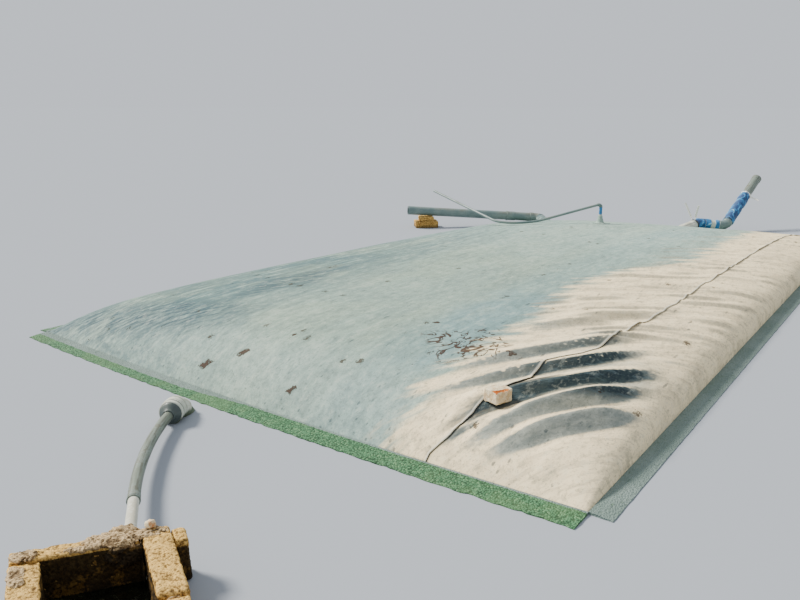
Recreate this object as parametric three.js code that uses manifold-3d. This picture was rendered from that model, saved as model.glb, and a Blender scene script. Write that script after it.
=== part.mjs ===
// A low membrane bag digester, from the water line up: a gas cover of welded
// sheet, its welded edge hems, a feed pipe, a wrapped inlet pipe, a gas outlet
// and a masonry outlet box. Millimetres, +Z up, Z = 0 is the water line.
// X runs across the bag and Y along it, away from the near hem.
import * as THREE from "three";
import { mergeVertices } from "three/addons/utils/BufferGeometryUtils.js";
import Module from "manifold-3d";

const wasm = await Module();
wasm.setup();

// Bag plan and crown
const BAG_WIDTH = 4000;
const LEFT_LENGTH = 6600;
const RIGHT_LENGTH = 7600;
const FAR_LEFT_INSET = 500;
const NEAR_BOW = 55;
const CROWN = 310;
const NEAR_RISE = 260;
const ACROSS_POWER = 2.3;
const ACROSS_ROUND = 0.31;
const FAR_POWER = 8;
const FAR_ROUND = 1.2;

// Sheet, seam and hems
const SHEET = 8;
const GAP = 0.3;
const SEAM_START = 0.82;
const SEAM_END = 0.88;
const SEAM_SHIFT_END = 0.12;
const SEAM_STRIP = 60;
const SEAM_STRIP_THICK = 5;
const HEM_WIDTH = 100;
const NEAR_HEM_BULGE = 90;
const HEM_THICK = 12;

// Pleats near the right front corner: start, end and height of each ridge
const PLEATS = [
  { from: [3000, 1000], to: [3400, 1870], height: 18 },
  { from: [2960, 300], to: [3490, 1420], height: 28 },
  { from: [2930, 120], to: [3620, 1250], height: 34 },
  { from: [3030, 60], to: [3720, 990], height: 42 },
  { from: [3300, -20], to: [3740, 730], height: 50 },
  { from: [3410, -20], to: [3860, 620], height: 44 },
];
const PLEAT_HALF_WIDTH = 46;
const PLEAT_FADE_FROM = 600;
const PLEAT_FADE_TO = 2400;
const EDGE_FADE = 160;

// Pipes
const SIDES = 20;
const OUTLET_SIDES = 16;
const GAS_SIDES = 12;
const BIG_PIPE = 55;
const BIG_BORE = 51;
const OUTLET_PIPE = 24.5;
const OUTLET_BORE = 21.5;
const TAIL_PIPE = 21;
const TAIL_BORE = 18.5;
const COUPLING = 26.5;
const COUPLING_BEFORE = 30;
const COUPLING_AFTER = 20;
const GAS_PIPE = 13.5;
const GAS_BORE = 11;
const GAS_FITTING = 17.5;
const WRAP = 5;
const STRAP_WIDTH = 22;
const STRAP_THICK = 4;
const STRAP_END_WIDTH = 16;
const STRAP_SEAT = 0.1;
const FIRST_BEND = 75;
const SECOND_BEND = 80;
const FEED_BEND_IN = 130;
const FEED_BEND_OUT = 70;
const BARE_TOP = 330;

// Loose ends of the straps: how each leans and how long it is
const LEFT_END = { lean: [-0.45, 0, 1], length: 230 };
const RIGHT_END = { lean: [0.18, 0, 1], length: 200 };
const RISER_END = { lean: [1, 0.3, -0.1], length: 110 };

// Outlet fittings: lengths of the elbow's two sides and of the reducer, its radii,
// and the shares of its length between which its outside and its bore narrow
const OUTLET_LEG_SIDE = 45;
const OUTLET_RUN_SIDE = 60;
const REDUCER_LONG = 70;
const REDUCER_COLLAR = 3;
const REDUCER_NECK = 6;
const REDUCER_CONE = [0.43, 0.79];
const REDUCER_BORE_CONE = [0.36, 0.71];

// Block pier under the outer end of the feed pipe
const PIER_BASE = [300, 200, 90];
const PIER_TOP = [190, 200];
const PIER_SETBACK = 240;

// Outlet box of blocks
const BOX_SIZE = 500;
const BOX_WALL = 100;
const BACK_WALL = 72;
const BOX_HEIGHT = 180;
const BOX_CORNER = [2710, -1600];
const BOX_TURN = THREE.MathUtils.degToRad(56);
const BOX_SKEW = THREE.MathUtils.degToRad(6);
const CORNER_BLOCK = { wide: 48, from: 4, to: 100, drop: 14 };
const TAIL_ALONG = 350;
const TAIL_HEIGHT = 118;
const COLLAR_LUMP = [88, 52, 66];
const RUBBLE = 22;
const RUBBLE_SHAPE = [1.1, 0.9, 0.8];
const RUBBLE_AT = [35, 10];

// Half brick lying on the lap seam
const BRICK = [105, 100, 60];
const BRICK_AT = [3394, 345];
const BRICK_TURN = THREE.MathUtils.degToRad(-14);
const SEATING_STEPS = 40;

const colours = {
  membrane: 0x9ea39d,
  sunnyMembrane: 0xb9b2a4,
  hem: 0x71825c,
  pipe: 0x9aa3a5,
  darkPipe: 0x55605f,
  palePipe: 0xc4c2b8,
  tarp: 0x2d6fae,
  strap: 0xd8d6cc,
  block: 0xa98a62,
  mortar: 0xa09280,
  brick: 0xd9b692,
};

const digester = new THREE.Group();

const vec = (x, y, z) => new THREE.Vector3(x, y, z);

// A point at a distance from one point towards another.
const towards = (from, to, distance) =>
  from.clone().add(to.clone().sub(from).normalize().multiplyScalar(distance));

// Adds one named mesh with its own material.
function add(name, geometry, colour, roughness, parent = digester) {
  const material = new THREE.MeshStandardMaterial({ color: colour, roughness, metalness: 0 });
  const mesh = new THREE.Mesh(geometry, material);
  mesh.name = name;
  parent.add(mesh);
  return mesh;
}

// A geometry as a solid that can be cut and joined.
function toSolid(geometry) {
  const bare = geometry.clone();
  bare.deleteAttribute("normal");
  bare.deleteAttribute("uv");
  const merged = mergeVertices(bare, 1e-3);
  return new wasm.Manifold(
    new wasm.Mesh({
      numProp: 3,
      vertProperties: merged.attributes.position.array,
      triVerts: new Uint32Array(merged.index.array),
    }),
  );
}

function toGeometry(solid) {
  const mesh = solid.getMesh();
  const geometry = new THREE.BufferGeometry();
  geometry.setAttribute("position", new THREE.BufferAttribute(mesh.vertProperties, 3));
  geometry.setIndex(new THREE.BufferAttribute(mesh.triVerts, 1));
  geometry.computeVertexNormals();
  return geometry;
}

// Plan of the bag: x and y run from 0 to 1 across and along it.
function planPoint(x, y) {
  const bow = NEAR_BOW * 4 * x * (1 - x) * (1 - y);
  return [
    x * BAG_WIDTH + FAR_LEFT_INSET * y * (1 - x),
    y * THREE.MathUtils.lerp(LEFT_LENGTH, RIGHT_LENGTH, x) - bow,
  ];
}

// The x and y of a plan point, found by repeated substitution.
function planShare(u, v) {
  let x = u / BAG_WIDTH;
  let y = 0;
  for (let step = 0; step < 30; step += 1) {
    const bow = NEAR_BOW * 4 * x * (1 - x) * (1 - y);
    y = (v + bow) / THREE.MathUtils.lerp(LEFT_LENGTH, RIGHT_LENGTH, x);
    x = (u - FAR_LEFT_INSET * y) / (BAG_WIDTH - FAR_LEFT_INSET * y);
  }
  return [x, y];
}

// Height that the pleats add: each is a rounded ridge along a line, fading in along it.
function pleatHeight(u, v) {
  let height = 0;
  for (const pleat of PLEATS) {
    const alongX = pleat.to[0] - pleat.from[0];
    const alongY = pleat.to[1] - pleat.from[1];
    const length = Math.hypot(alongX, alongY);
    const t = ((u - pleat.from[0]) * alongX + (v - pleat.from[1]) * alongY) / (length * length);
    const off = ((u - pleat.from[0]) * alongY - (v - pleat.from[1]) * alongX) / length;
    const start = THREE.MathUtils.smoothstep(t, -0.25, 0.55);
    const end = 1 - THREE.MathUtils.smoothstep(v, PLEAT_FADE_FROM, PLEAT_FADE_TO);
    height += pleat.height * start * end * Math.exp(-((off / PLEAT_HALF_WIDTH) ** 2));
  }
  return height;
}

// Underside of the cover at a share of the plan: a crown that dies out at every edge.
function coverHeight(x, y) {
  const [u, v] = planPoint(x, y);
  const length = THREE.MathUtils.lerp(LEFT_LENGTH, RIGHT_LENGTH, x);
  const across = Math.max(0, 1 - Math.abs(2 * x - 1) ** ACROSS_POWER) ** ACROSS_ROUND;
  const near = 1 - Math.exp((-y * length) / NEAR_RISE);
  const far = Math.max(0, 1 - y ** FAR_POWER) ** FAR_ROUND;
  const edge = Math.min(1, (y * length) / EDGE_FADE, ((1 - x) * BAG_WIDTH) / EDGE_FADE);
  return CROWN * across * near * far + pleatHeight(u, v) * Math.max(0, edge);
}

const seamShare = (y) =>
  THREE.MathUtils.lerp(SEAM_START, SEAM_END, THREE.MathUtils.smoothstep(y, 0, SEAM_SHIFT_END));

// Rows and columns of the sheets, closer together where the cover curves more.
const evenly = (from, to, count) =>
  Array.from({ length: count }, (_, i) => from + ((to - from) * i) / count);
const NEAR_ROWS = [0, 0.008, 0.018, ...evenly(0.03, 0.2, 18), ...evenly(0.2, 0.3, 5)];
const ROWS = [...NEAR_ROWS, ...evenly(0.3, 0.84, 8), ...evenly(0.84, 1, 7), 1];
const LEFT_COLUMNS = [0, 0.003, 0.01, 0.03, 0.06, ...evenly(0.1, 0.6, 5)];
const MAIN_COLUMNS = [...LEFT_COLUMNS, ...evenly(0.6, 0.84, 6), ...evenly(0.84, 1, 10), 1];
const SIDE_COLUMNS = [...evenly(0, 0.85, 10), 0.85, 0.93, 0.97, 0.99, 1];
const LAYER_STEP = 1.0001;

// A closed body between two heights over a grid of plan shares.
// place(s, y) gives the share across for a column, low and high the heights.
function gridBody(columns, rows, place, low, high) {
  const positions = [];
  const index = [];
  const count = columns.length * rows.length;
  for (const height of [low, high]) {
    for (const s of columns) {
      for (const y of rows) {
        const x = place(s, y);
        const [u, v] = planPoint(x, y);
        positions.push(u, v, height(x, y));
      }
    }
  }
  const at = (layer, i, j) => layer * count + i * rows.length + j;
  const quad = (a, b, c, d) => index.push(a, b, c, a, c, d);
  for (let i = 0; i + 1 < columns.length; i += 1) {
    for (let j = 0; j + 1 < rows.length; j += 1) {
      quad(at(1, i, j), at(1, i + 1, j), at(1, i + 1, j + 1), at(1, i, j + 1));
      quad(at(0, i, j), at(0, i, j + 1), at(0, i + 1, j + 1), at(0, i + 1, j));
    }
    const last = rows.length - 1;
    quad(at(0, i, 0), at(0, i + 1, 0), at(1, i + 1, 0), at(1, i, 0));
    quad(at(0, i + 1, last), at(0, i, last), at(1, i, last), at(1, i + 1, last));
  }
  for (let j = 0; j + 1 < rows.length; j += 1) {
    const last = columns.length - 1;
    quad(at(0, 0, j + 1), at(0, 0, j), at(1, 0, j), at(1, 0, j + 1));
    quad(at(0, last, j), at(0, last, j + 1), at(1, last, j + 1), at(1, last, j));
  }
  const geometry = new THREE.BufferGeometry();
  geometry.setAttribute("position", new THREE.Float32BufferAttribute(positions, 3));
  geometry.setIndex(index);
  return geometry;
}

const topOfCover = (x, y) => coverHeight(x, y) + SHEET;

const SPLIT = GAP / 2 / BAG_WIDTH;
const onMain = (s, y) => s * (seamShare(y) - SPLIT);
const onSide = (s, y) => THREE.MathUtils.lerp(seamShare(y) + SPLIT, 1, s);

// The space that the cover fills, from far below up to just over its top, on the same grid.
const FAR_BELOW = 400;
const coverSpace = toSolid(
  gridBody(
    [...MAIN_COLUMNS, ...SIDE_COLUMNS.map((s) => s + LAYER_STEP)],
    ROWS,
    (s, y) => (s <= 1 ? onMain(s, y) : onSide(s - LAYER_STEP, y)),
    () => -FAR_BELOW,
    (x, y) => topOfCover(x, y) + GAP,
  ),
);

// Heights and tilts where a thing lies on the cover.
function coverTopAt(u, v) {
  const [x, y] = planShare(u, v);
  return topOfCover(x, y);
}

// A round bar or ring section.
function ringShape(outer, inner) {
  const shape = new THREE.Shape().absarc(0, 0, outer, 0, Math.PI * 2, false);
  if (inner > 0) shape.holes.push(new THREE.Path().absarc(0, 0, inner, 0, Math.PI * 2, true));
  return shape;
}

// A straight tube from one point to another.
function straightTube(from, to, outer, inner, sides = SIDES) {
  const length = from.distanceTo(to);
  const geometry = new THREE.ExtrudeGeometry(ringShape(outer, inner), {
    depth: length,
    bevelEnabled: false,
    curveSegments: sides / 2,
  });
  const turn = new THREE.Quaternion().setFromUnitVectors(
    vec(0, 0, 1),
    to.clone().sub(from).normalize(),
  );
  geometry.applyQuaternion(turn);
  geometry.translate(from.x, from.y, from.z);
  return geometry;
}

// A tube along a curve.
const curvedTube = (path, outer, inner, steps, sides = SIDES) =>
  new THREE.ExtrudeGeometry(ringShape(outer, inner), {
    steps,
    extrudePath: path,
    curveSegments: sides / 2,
  });

// A bent tube along a smooth bend through a corner point.
const bentTube = (from, corner, to, outer, inner, bendSteps = 8, sides = SIDES) =>
  curvedTube(new THREE.QuadraticBezierCurve3(from, corner, to), outer, inner, bendSteps, sides);

// The bore of a sleeve that clears a faceted pipe.
const clearBore = (radius, sides = SIDES) => (radius + GAP) / Math.cos(Math.PI / sides);

// A turned piece about the line from one point to another, given as radius and distance pairs.
function turnedPiece(from, to, profile, sides = SIDES) {
  const geometry = new THREE.LatheGeometry(
    profile.map(([r, h]) => new THREE.Vector2(r, h)),
    sides,
  );
  const turn = new THREE.Quaternion().setFromUnitVectors(
    vec(0, 1, 0),
    to.clone().sub(from).normalize(),
  );
  geometry.applyQuaternion(turn);
  geometry.translate(from.x, from.y, from.z);
  return geometry;
}

// A block given by its low and high corners.
function block(low, high) {
  const geometry = new THREE.BoxGeometry(high[0] - low[0], high[1] - low[1], high[2] - low[2]);
  geometry.translate((low[0] + high[0]) / 2, (low[1] + high[1]) / 2, (low[2] + high[2]) / 2);
  return geometry;
}

const outsideCover = (geometry) => toGeometry(toSolid(geometry).subtract(coverSpace));

const BELOW_WATER = toSolid(block([-2000, -3000, -1000], [7000, 10000, 0]));
const aboveWater = (geometry) => toGeometry(toSolid(geometry).subtract(BELOW_WATER));

// Gas line: a short riser on the crown, an elbow, and a pipe that rests on the cover
const RISER_AT = [1850, 5400];
const RISER_FOOT = vec(...RISER_AT, coverTopAt(...RISER_AT));
const RISER_HEIGHT = 180;
const BOOT_FOOT = 30;
const BOOT_CONE = 54;
const SOCKET_TOP = 100;
const ELBOW_RISE = 35;
const ELBOW_RUN = 40;
const REST_CLEAR = 6;
const riserTop = RISER_FOOT.clone().add(vec(0, 0, RISER_HEIGHT));
const elbowTop = riserTop.clone().add(vec(0, 0, ELBOW_RISE));
const overCover = (u, v) => vec(u, v, coverTopAt(u, v) + GAS_PIPE + REST_CLEAR);
const gasTouch = overCover(1310, 4820);
const gasRest = overCover(1080, 4570);
const gasEnd = vec(-150, 5060, 530);
const gasStart = towards(elbowTop, gasTouch, ELBOW_RUN);
const GAS_BEND_IN = 120;
const GAS_BEND_OUT = 180;

// Feed pipe and inlet pipe
const feedOuterEnd = vec(-700, 5270, 225);
const feedInnerEnd = vec(470, 6420, 105);
const feedCorner = towards(feedInnerEnd, feedOuterEnd, -FEED_BEND_IN);
const feedEntry = vec(1050, 6000, 40);
const feedTurned = towards(feedCorner, feedEntry, FEED_BEND_OUT);
const inletEntry = vec(2300, 6500, 30);
const inletCorner = vec(2457, 7107, 120);
const inletBend = vec(2736, 7292, 85);
const inletTop = vec(2890, 8050, 630);

// Outlet pipe
const outletStart = vec(1885, -244.8, -90);
const outletCorner = vec(1915, -354.8, 55);
const outletAim = vec(2097, -605, 62);
const outletBow = vec(2231, -794, 70);
const outletKink = vec(2610, -1078, 89);
const outletLegEnd = towards(outletCorner, outletStart, OUTLET_LEG_SIDE);
const outletElbowEnd = towards(outletCorner, outletAim, OUTLET_RUN_SIDE);

// The box's own axes: along its back wall, and out of the pit past that wall, a little askew
const boxFrame = new THREE.Matrix4().makeBasis(
  vec(Math.cos(BOX_TURN), Math.sin(BOX_TURN), 0),
  vec(-Math.sin(BOX_TURN + BOX_SKEW), Math.cos(BOX_TURN + BOX_SKEW), 0),
  vec(0, 0, 1),
).setPosition(...BOX_CORNER, 0);
const boxPoint = (along, out, z) => vec(along, out, z).applyMatrix4(boxFrame);

function addSheets() {
  const gasHole = straightTube(vec(RISER_FOOT.x, RISER_FOOT.y, 0), riserTop, GAS_BORE, 0, GAS_SIDES);
  const plain = toSolid(gridBody(MAIN_COLUMNS, ROWS, onMain, coverHeight, topOfCover));
  const main = plain.subtract(toSolid(gasHole));
  add("main_cover_sheet", toGeometry(main), colours.membrane, 0.75);
  const side = gridBody(SIDE_COLUMNS, ROWS, onSide, coverHeight, topOfCover);
  add("right_side_sheet", side, colours.sunnyMembrane, 0.75);
  const strip = gridBody(
    [-1, 0, 1],
    ROWS.slice(0, -1),
    (s, y) => seamShare(y) + (s * SEAM_STRIP) / 2 / BAG_WIDTH,
    (x, y) => topOfCover(x, y) - SHEET / 2,
    (x, y) => topOfCover(x, y) + SEAM_STRIP_THICK,
  );
  const lapStrip = toSolid(strip).subtract(coverSpace);
  add("lap_seam_strip", toGeometry(lapStrip), colours.membrane, 0.8);
  return [main, toSolid(side), lapStrip];
}

// One flat welded edge along the plan, from a line just clear of the cover outwards.
function hemStrip(inner, outer) {
  const shape = new THREE.Shape([...inner, ...outer.reverse()].map(([u, v]) => new THREE.Vector2(u, v)));
  return new THREE.ExtrudeGeometry(shape, { depth: HEM_THICK, bevelEnabled: false });
}

function addHems() {
  const shares = [...MAIN_COLUMNS.map((s) => onMain(s, 0)), ...SIDE_COLUMNS.map((s) => onSide(s, 0))];
  const bulge = (x) => HEM_WIDTH + NEAR_HEM_BULGE * 4 * x * (1 - x);
  const near = shares.map((x) => planPoint(x, 0));
  add(
    "near_hem",
    hemStrip(
      near.map(([u, v]) => [u, v - GAP]),
      near.map(([u, v], i) => [u, v - bulge(shares[i])]),
    ),
    colours.hem,
    0.9,
  );
  const farLeft = planPoint(0, 1);
  const farRight = planPoint(1, 1);
  const slope = (farRight[1] - farLeft[1]) / (farRight[0] - farLeft[0]);
  add(
    "far_hem",
    hemStrip(
      [[farLeft[0], farLeft[1] + 1], [farRight[0], farRight[1] + 1]],
      [
        [farLeft[0], farLeft[1] + HEM_WIDTH],
        [farRight[0], farRight[1] + HEM_WIDTH],
      ],
    ),
    colours.hem,
    0.85,
  );
  add(
    "left_hem",
    hemStrip(
      [[-GAP, 0], [farLeft[0] - GAP - 0.1, farLeft[1]]],
      [[-HEM_WIDTH, 0], [farLeft[0] - HEM_WIDTH, farLeft[1]]],
    ),
    colours.hem,
    0.85,
  );
  add(
    "right_hem",
    hemStrip(
      [[BAG_WIDTH + HEM_WIDTH, 0], [BAG_WIDTH + HEM_WIDTH, farRight[1] + slope * HEM_WIDTH]],
      [[BAG_WIDTH + GAP, 0], [BAG_WIDTH + GAP, farRight[1]]],
    ),
    colours.hem,
    0.85,
  );
}

// A thin-walled gas pipe between two points.
const gasTube = (from, to, outer = GAS_PIPE, inner = GAS_BORE) =>
  straightTube(from, to, outer, inner, GAS_SIDES);

function addGasOutlet() {
  const above = (rise) => RISER_FOOT.clone().add(vec(0, 0, rise));
  const sleeveBore = clearBore(GAS_PIPE, GAS_SIDES);
  const skirt = { radius: 110, edge: 34 };
  const cone = { radius: 34, height: 52 };
  const neck = { radius: 26, height: BOOT_FOOT + BOOT_CONE };
  const boot = turnedPiece(
    above(-BOOT_FOOT),
    riserTop,
    [
      [GAS_BORE, 0],
      [skirt.radius, 0],
      [skirt.radius, skirt.edge],
      [cone.radius, cone.height],
      [neck.radius, neck.height],
      [sleeveBore, neck.height],
      [sleeveBore, 2 * BOOT_FOOT],
      [GAS_BORE, 2 * BOOT_FOOT],
      [GAS_BORE, 0],
    ],
    GAS_SIDES,
  );
  add("gas_boot", outsideCover(boot), colours.membrane, 0.8);
  add("gas_riser", gasTube(above(BOOT_FOOT + GAP), riserTop), colours.pipe, 0.5);
  const socketFrom = above(BOOT_CONE + GAP);
  const wrapFrom = above(SOCKET_TOP + GAP);
  const around = (from, to) => gasTube(from, to, GAS_FITTING, GAS_PIPE + GAP);
  add("gas_riser_socket", around(socketFrom, above(SOCKET_TOP)), colours.palePipe, 0.5);
  add("gas_riser_wrap", around(wrapFrom, riserTop), colours.tarp, 0.6);
  const elbowStart = riserTop.clone().add(vec(0, 0, GAP));
  add(
    "gas_elbow",
    bentTube(elbowStart, elbowTop, gasStart, GAS_FITTING, GAS_BORE, 5, GAS_SIDES),
    colours.pipe,
    0.5,
  );
  const bendStart = towards(gasTouch, gasStart, GAS_BEND_IN);
  const bendEnd = towards(gasRest, gasEnd, GAS_BEND_OUT);
  add(
    "gas_pipe",
    gasTube(towards(gasStart, gasTouch, GAP), towards(bendStart, gasStart, GAP)),
    colours.pipe,
    0.5,
  );
  const lying = new THREE.CubicBezierCurve3(bendStart, gasTouch, gasRest, bendEnd);
  add("gas_pipe_bend", curvedTube(lying, GAS_PIPE, GAS_BORE, 10, GAS_SIDES), colours.pipe, 0.5);
  add("gas_pipe_end", gasTube(towards(bendEnd, gasEnd, GAP), gasEnd), colours.pipe, 0.5);
}

// Two blocks that carry the outer end of the feed pipe, turned with it.
function addPier() {
  const foot = towards(feedOuterEnd, feedInnerEnd, PIER_SETBACK);
  const slope = (feedOuterEnd.z - feedInnerEnd.z) / feedOuterEnd.distanceTo(feedInnerEnd);
  const top = foot.z - BIG_PIPE / Math.cos(Math.asin(slope)) - (slope * PIER_TOP[0]) / 2 - GAP;
  const pier = new THREE.Group();
  pier.position.set(foot.x, foot.y, 0);
  pier.rotation.z = Math.atan2(feedInnerEnd.y - feedOuterEnd.y, feedInnerEnd.x - feedOuterEnd.x);
  digester.add(pier);
  const [baseLong, baseWide, baseHigh] = PIER_BASE;
  const [topLong, topWide] = PIER_TOP;
  add(
    "feed_pier_base_block",
    block([-baseLong / 2, -baseWide / 2, 0], [baseLong / 2, baseWide / 2, baseHigh]),
    colours.block,
    0.95,
    pier,
  );
  add(
    "feed_pier_top_block",
    block([-topLong / 2, -topWide / 2, baseHigh + GAP], [topLong / 2, topWide / 2, top]),
    colours.block,
    0.95,
    pier,
  );
}

function addFeedPipe() {
  add("feed_pipe", straightTube(feedOuterEnd, feedInnerEnd, BIG_PIPE, BIG_BORE), colours.pipe, 0.55);
  add(
    "feed_elbow",
    bentTube(towards(feedInnerEnd, feedCorner, GAP), feedCorner, feedTurned, BIG_PIPE, BIG_BORE),
    colours.pipe,
    0.55,
  );
  const boot = straightTube(towards(feedTurned, feedEntry, GAP), feedEntry, BIG_PIPE + WRAP, BIG_BORE);
  add("feed_boot", outsideCover(boot), colours.membrane, 0.8);
}

const BAND_BORE = BIG_PIPE + WRAP + GAP;

// A strap band round a pipe, over its wrap.
function strapBand(name, at, along) {
  const far = towards(at, along, STRAP_WIDTH);
  add(name, straightTube(at, far, BAND_BORE + STRAP_THICK, BAND_BORE), colours.strap, 0.7);
}

// The loose end of a strap: a thin lath that stands on the band, square to the pipe.
function strapEnd(name, bandStart, along, { lean, length }) {
  const middle = towards(bandStart, along, STRAP_WIDTH / 2);
  const axis = along.clone().sub(bandStart).normalize();
  const leaning = vec(...lean);
  const out = leaning.addScaledVector(axis, -leaning.dot(axis)).normalize();
  const geometry = new THREE.BoxGeometry(STRAP_THICK, STRAP_END_WIDTH, length);
  geometry.translate(0, 0, length / 2 + BAND_BORE + STRAP_THICK + STRAP_SEAT);
  geometry.applyQuaternion(new THREE.Quaternion().setFromUnitVectors(vec(0, 0, 1), out));
  geometry.translate(middle.x, middle.y, middle.z);
  add(name, geometry, colours.strap, 0.7);
}

function addInlet() {
  const bendStart = towards(inletCorner, inletEntry, FIRST_BEND);
  const bendEnd = towards(inletCorner, inletBend, FIRST_BEND);
  const boot = straightTube(towards(bendStart, inletEntry, GAP), inletEntry, BIG_PIPE + WRAP, BIG_BORE);
  add("inlet_boot", outsideCover(boot), colours.palePipe, 0.7);
  add(
    "inlet_first_elbow",
    bentTube(bendStart, inletCorner, bendEnd, BIG_PIPE, BIG_BORE, 5),
    colours.pipe,
    0.5,
  );
  add(
    "inlet_elbow_wrap",
    bentTube(bendStart, inletCorner, bendEnd, BIG_PIPE + WRAP, BIG_PIPE + GAP, 5),
    colours.tarp,
    0.6,
  );
  const lowStart = towards(bendEnd, inletBend, GAP);
  const lowEnd = towards(inletBend, inletCorner, SECOND_BEND);
  add("inlet_low_pipe", straightTube(lowStart, lowEnd, BIG_PIPE, BIG_BORE), colours.pipe, 0.5);
  const riserStart = towards(inletBend, inletTop, SECOND_BEND);
  const elbowFrom = towards(lowEnd, inletBend, GAP);
  add(
    "inlet_second_elbow",
    bentTube(elbowFrom, inletBend, riserStart, BIG_PIPE, BIG_BORE, 6),
    colours.pipe,
    0.5,
  );
  const riserFrom = towards(riserStart, inletTop, GAP);
  add("inlet_riser_pipe", straightTube(riserFrom, inletTop, BIG_PIPE, BIG_BORE), colours.pipe, 0.5);
  const wrapEnd = towards(inletTop, inletBend, BARE_TOP);
  add(
    "inlet_riser_wrap",
    straightTube(riserFrom, wrapEnd, BIG_PIPE + WRAP, BIG_PIPE + GAP),
    colours.tarp,
    0.6,
  );
  const bootBand = towards(bendStart, inletEntry, 4);
  const topBand = towards(wrapEnd, inletBend, STRAP_WIDTH + 6);
  strapBand("boot_strap", bootBand, inletEntry);
  strapBand("riser_foot_strap", towards(riserFrom, inletTop, 6), inletTop);
  strapBand("riser_top_strap", topBand, wrapEnd);
  strapEnd("strap_end_left", bootBand, inletEntry, LEFT_END);
  strapEnd("strap_end_right", bootBand, inletEntry, RIGHT_END);
  strapEnd("strap_end_riser", topBand, wrapEnd, RISER_END);
}

function addOutlet() {
  add(
    "outlet_leg",
    aboveWater(straightTube(outletStart, outletLegEnd, BIG_PIPE, BIG_BORE)),
    colours.palePipe,
    0.5,
  );
  const elbowFrom = towards(outletLegEnd, outletCorner, GAP);
  add(
    "outlet_elbow",
    aboveWater(bentTube(elbowFrom, outletCorner, outletElbowEnd, BIG_PIPE, BIG_BORE, 6)),
    colours.palePipe,
    0.5,
  );
  const reducerEnd = towards(outletElbowEnd, outletAim, REDUCER_LONG);
  const neck = OUTLET_PIPE + REDUCER_NECK;
  const reducerLong = REDUCER_LONG - GAP;
  const reducer = turnedPiece(towards(outletElbowEnd, outletAim, GAP), outletAim, [
    [BIG_BORE, 0],
    [BIG_PIPE + REDUCER_COLLAR, 0],
    [BIG_PIPE + REDUCER_COLLAR, REDUCER_CONE[0] * REDUCER_LONG],
    [neck, REDUCER_CONE[1] * REDUCER_LONG],
    [neck, reducerLong],
    [OUTLET_BORE, reducerLong],
    [OUTLET_BORE, REDUCER_BORE_CONE[1] * REDUCER_LONG],
    [BIG_BORE, REDUCER_BORE_CONE[0] * REDUCER_LONG],
    [BIG_BORE, 0],
  ]);
  add("outlet_reducer", aboveWater(reducer), colours.darkPipe, 0.5);
  const couplingStart = towards(outletKink, outletBow, COUPLING_BEFORE);
  const tailEnd = boxPoint(TAIL_ALONG, -BACK_WALL, TAIL_HEIGHT);
  const couplingEnd = towards(outletKink, tailEnd, COUPLING_AFTER);
  const small = [OUTLET_PIPE, OUTLET_BORE];
  add(
    "outlet_pipe",
    bentTube(towards(reducerEnd, outletAim, GAP), outletBow, couplingStart, ...small, 10, OUTLET_SIDES),
    colours.pipe,
    0.5,
  );
  const kinkFrom = towards(couplingStart, outletKink, GAP);
  add(
    "outlet_coupling",
    bentTube(kinkFrom, outletKink, couplingEnd, COUPLING, TAIL_BORE, 3, OUTLET_SIDES),
    colours.pipe,
    0.5,
  );
  const tailFrom = towards(couplingEnd, tailEnd, GAP);
  const tail = straightTube(tailFrom, tailEnd, TAIL_PIPE, TAIL_BORE, OUTLET_SIDES);
  add("outlet_tail_pipe", tail, colours.palePipe, 0.5);
}

// The outlet box: four block walls round a pit, with mortar where the pipe goes in.
function addBox() {
  const inner = BOX_SIZE - BOX_WALL;
  const wall = (name, low, high) =>
    add(name, block(low, high).applyMatrix4(boxFrame), colours.block, 0.95);
  const tailEnd = boxPoint(TAIL_ALONG, -BACK_WALL, TAIL_HEIGHT);
  const throughWall = towards(tailEnd, outletKink, -2 * BACK_WALL);
  const tailHole = toSolid(
    straightTube(outletKink, throughWall, clearBore(TAIL_PIPE, OUTLET_SIDES), 0, OUTLET_SIDES),
  );
  const back = block([0, -BACK_WALL, 0], [inner - GAP, 0, BOX_HEIGHT]).applyMatrix4(boxFrame);
  add("box_back_wall", toGeometry(toSolid(back).subtract(tailHole)), colours.block, 0.95);
  wall("box_right_wall", [inner, -BOX_SIZE, 0], [BOX_SIZE, 0, BOX_HEIGHT]);
  wall("box_left_wall", [0, -BOX_SIZE, 0], [BOX_WALL, -BACK_WALL - GAP, BOX_HEIGHT]);
  wall("box_front_wall", [BOX_WALL + GAP, -BOX_SIZE, 0], [inner - GAP, -inner, BOX_HEIGHT]);
  wall(
    "box_corner_block",
    [BOX_SIZE + GAP, -CORNER_BLOCK.to, 0],
    [BOX_SIZE + CORNER_BLOCK.wide, -CORNER_BLOCK.from, BOX_HEIGHT - CORNER_BLOCK.drop],
  );
  const lump = new THREE.SphereGeometry(1, 20, 12);
  lump.scale(...COLLAR_LUMP);
  lump.translate(TAIL_ALONG, 0, TAIL_HEIGHT);
  const past = 3 * BOX_SIZE;
  const outside = toSolid(block([-past, GAP, 0], [past, past, past]));
  const collar = toGeometry(toSolid(lump).intersect(outside)).applyMatrix4(boxFrame);
  add("box_mortar_collar", toGeometry(toSolid(collar).subtract(tailHole)), colours.mortar, 0.95);
  const stone = new THREE.DodecahedronGeometry(RUBBLE, 0);
  stone.scale(...RUBBLE_SHAPE);
  stone.translate(inner + RUBBLE_AT[0], -RUBBLE_AT[1], BOX_HEIGHT + RUBBLE / 2);
  const onTop = toSolid(block([-past, -past, BOX_HEIGHT + GAP], [past, past, past]));
  const seated = toGeometry(toSolid(stone).intersect(onTop)).applyMatrix4(boxFrame);
  add("box_rubble_stone", seated, colours.brick, 0.95);
}

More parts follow.
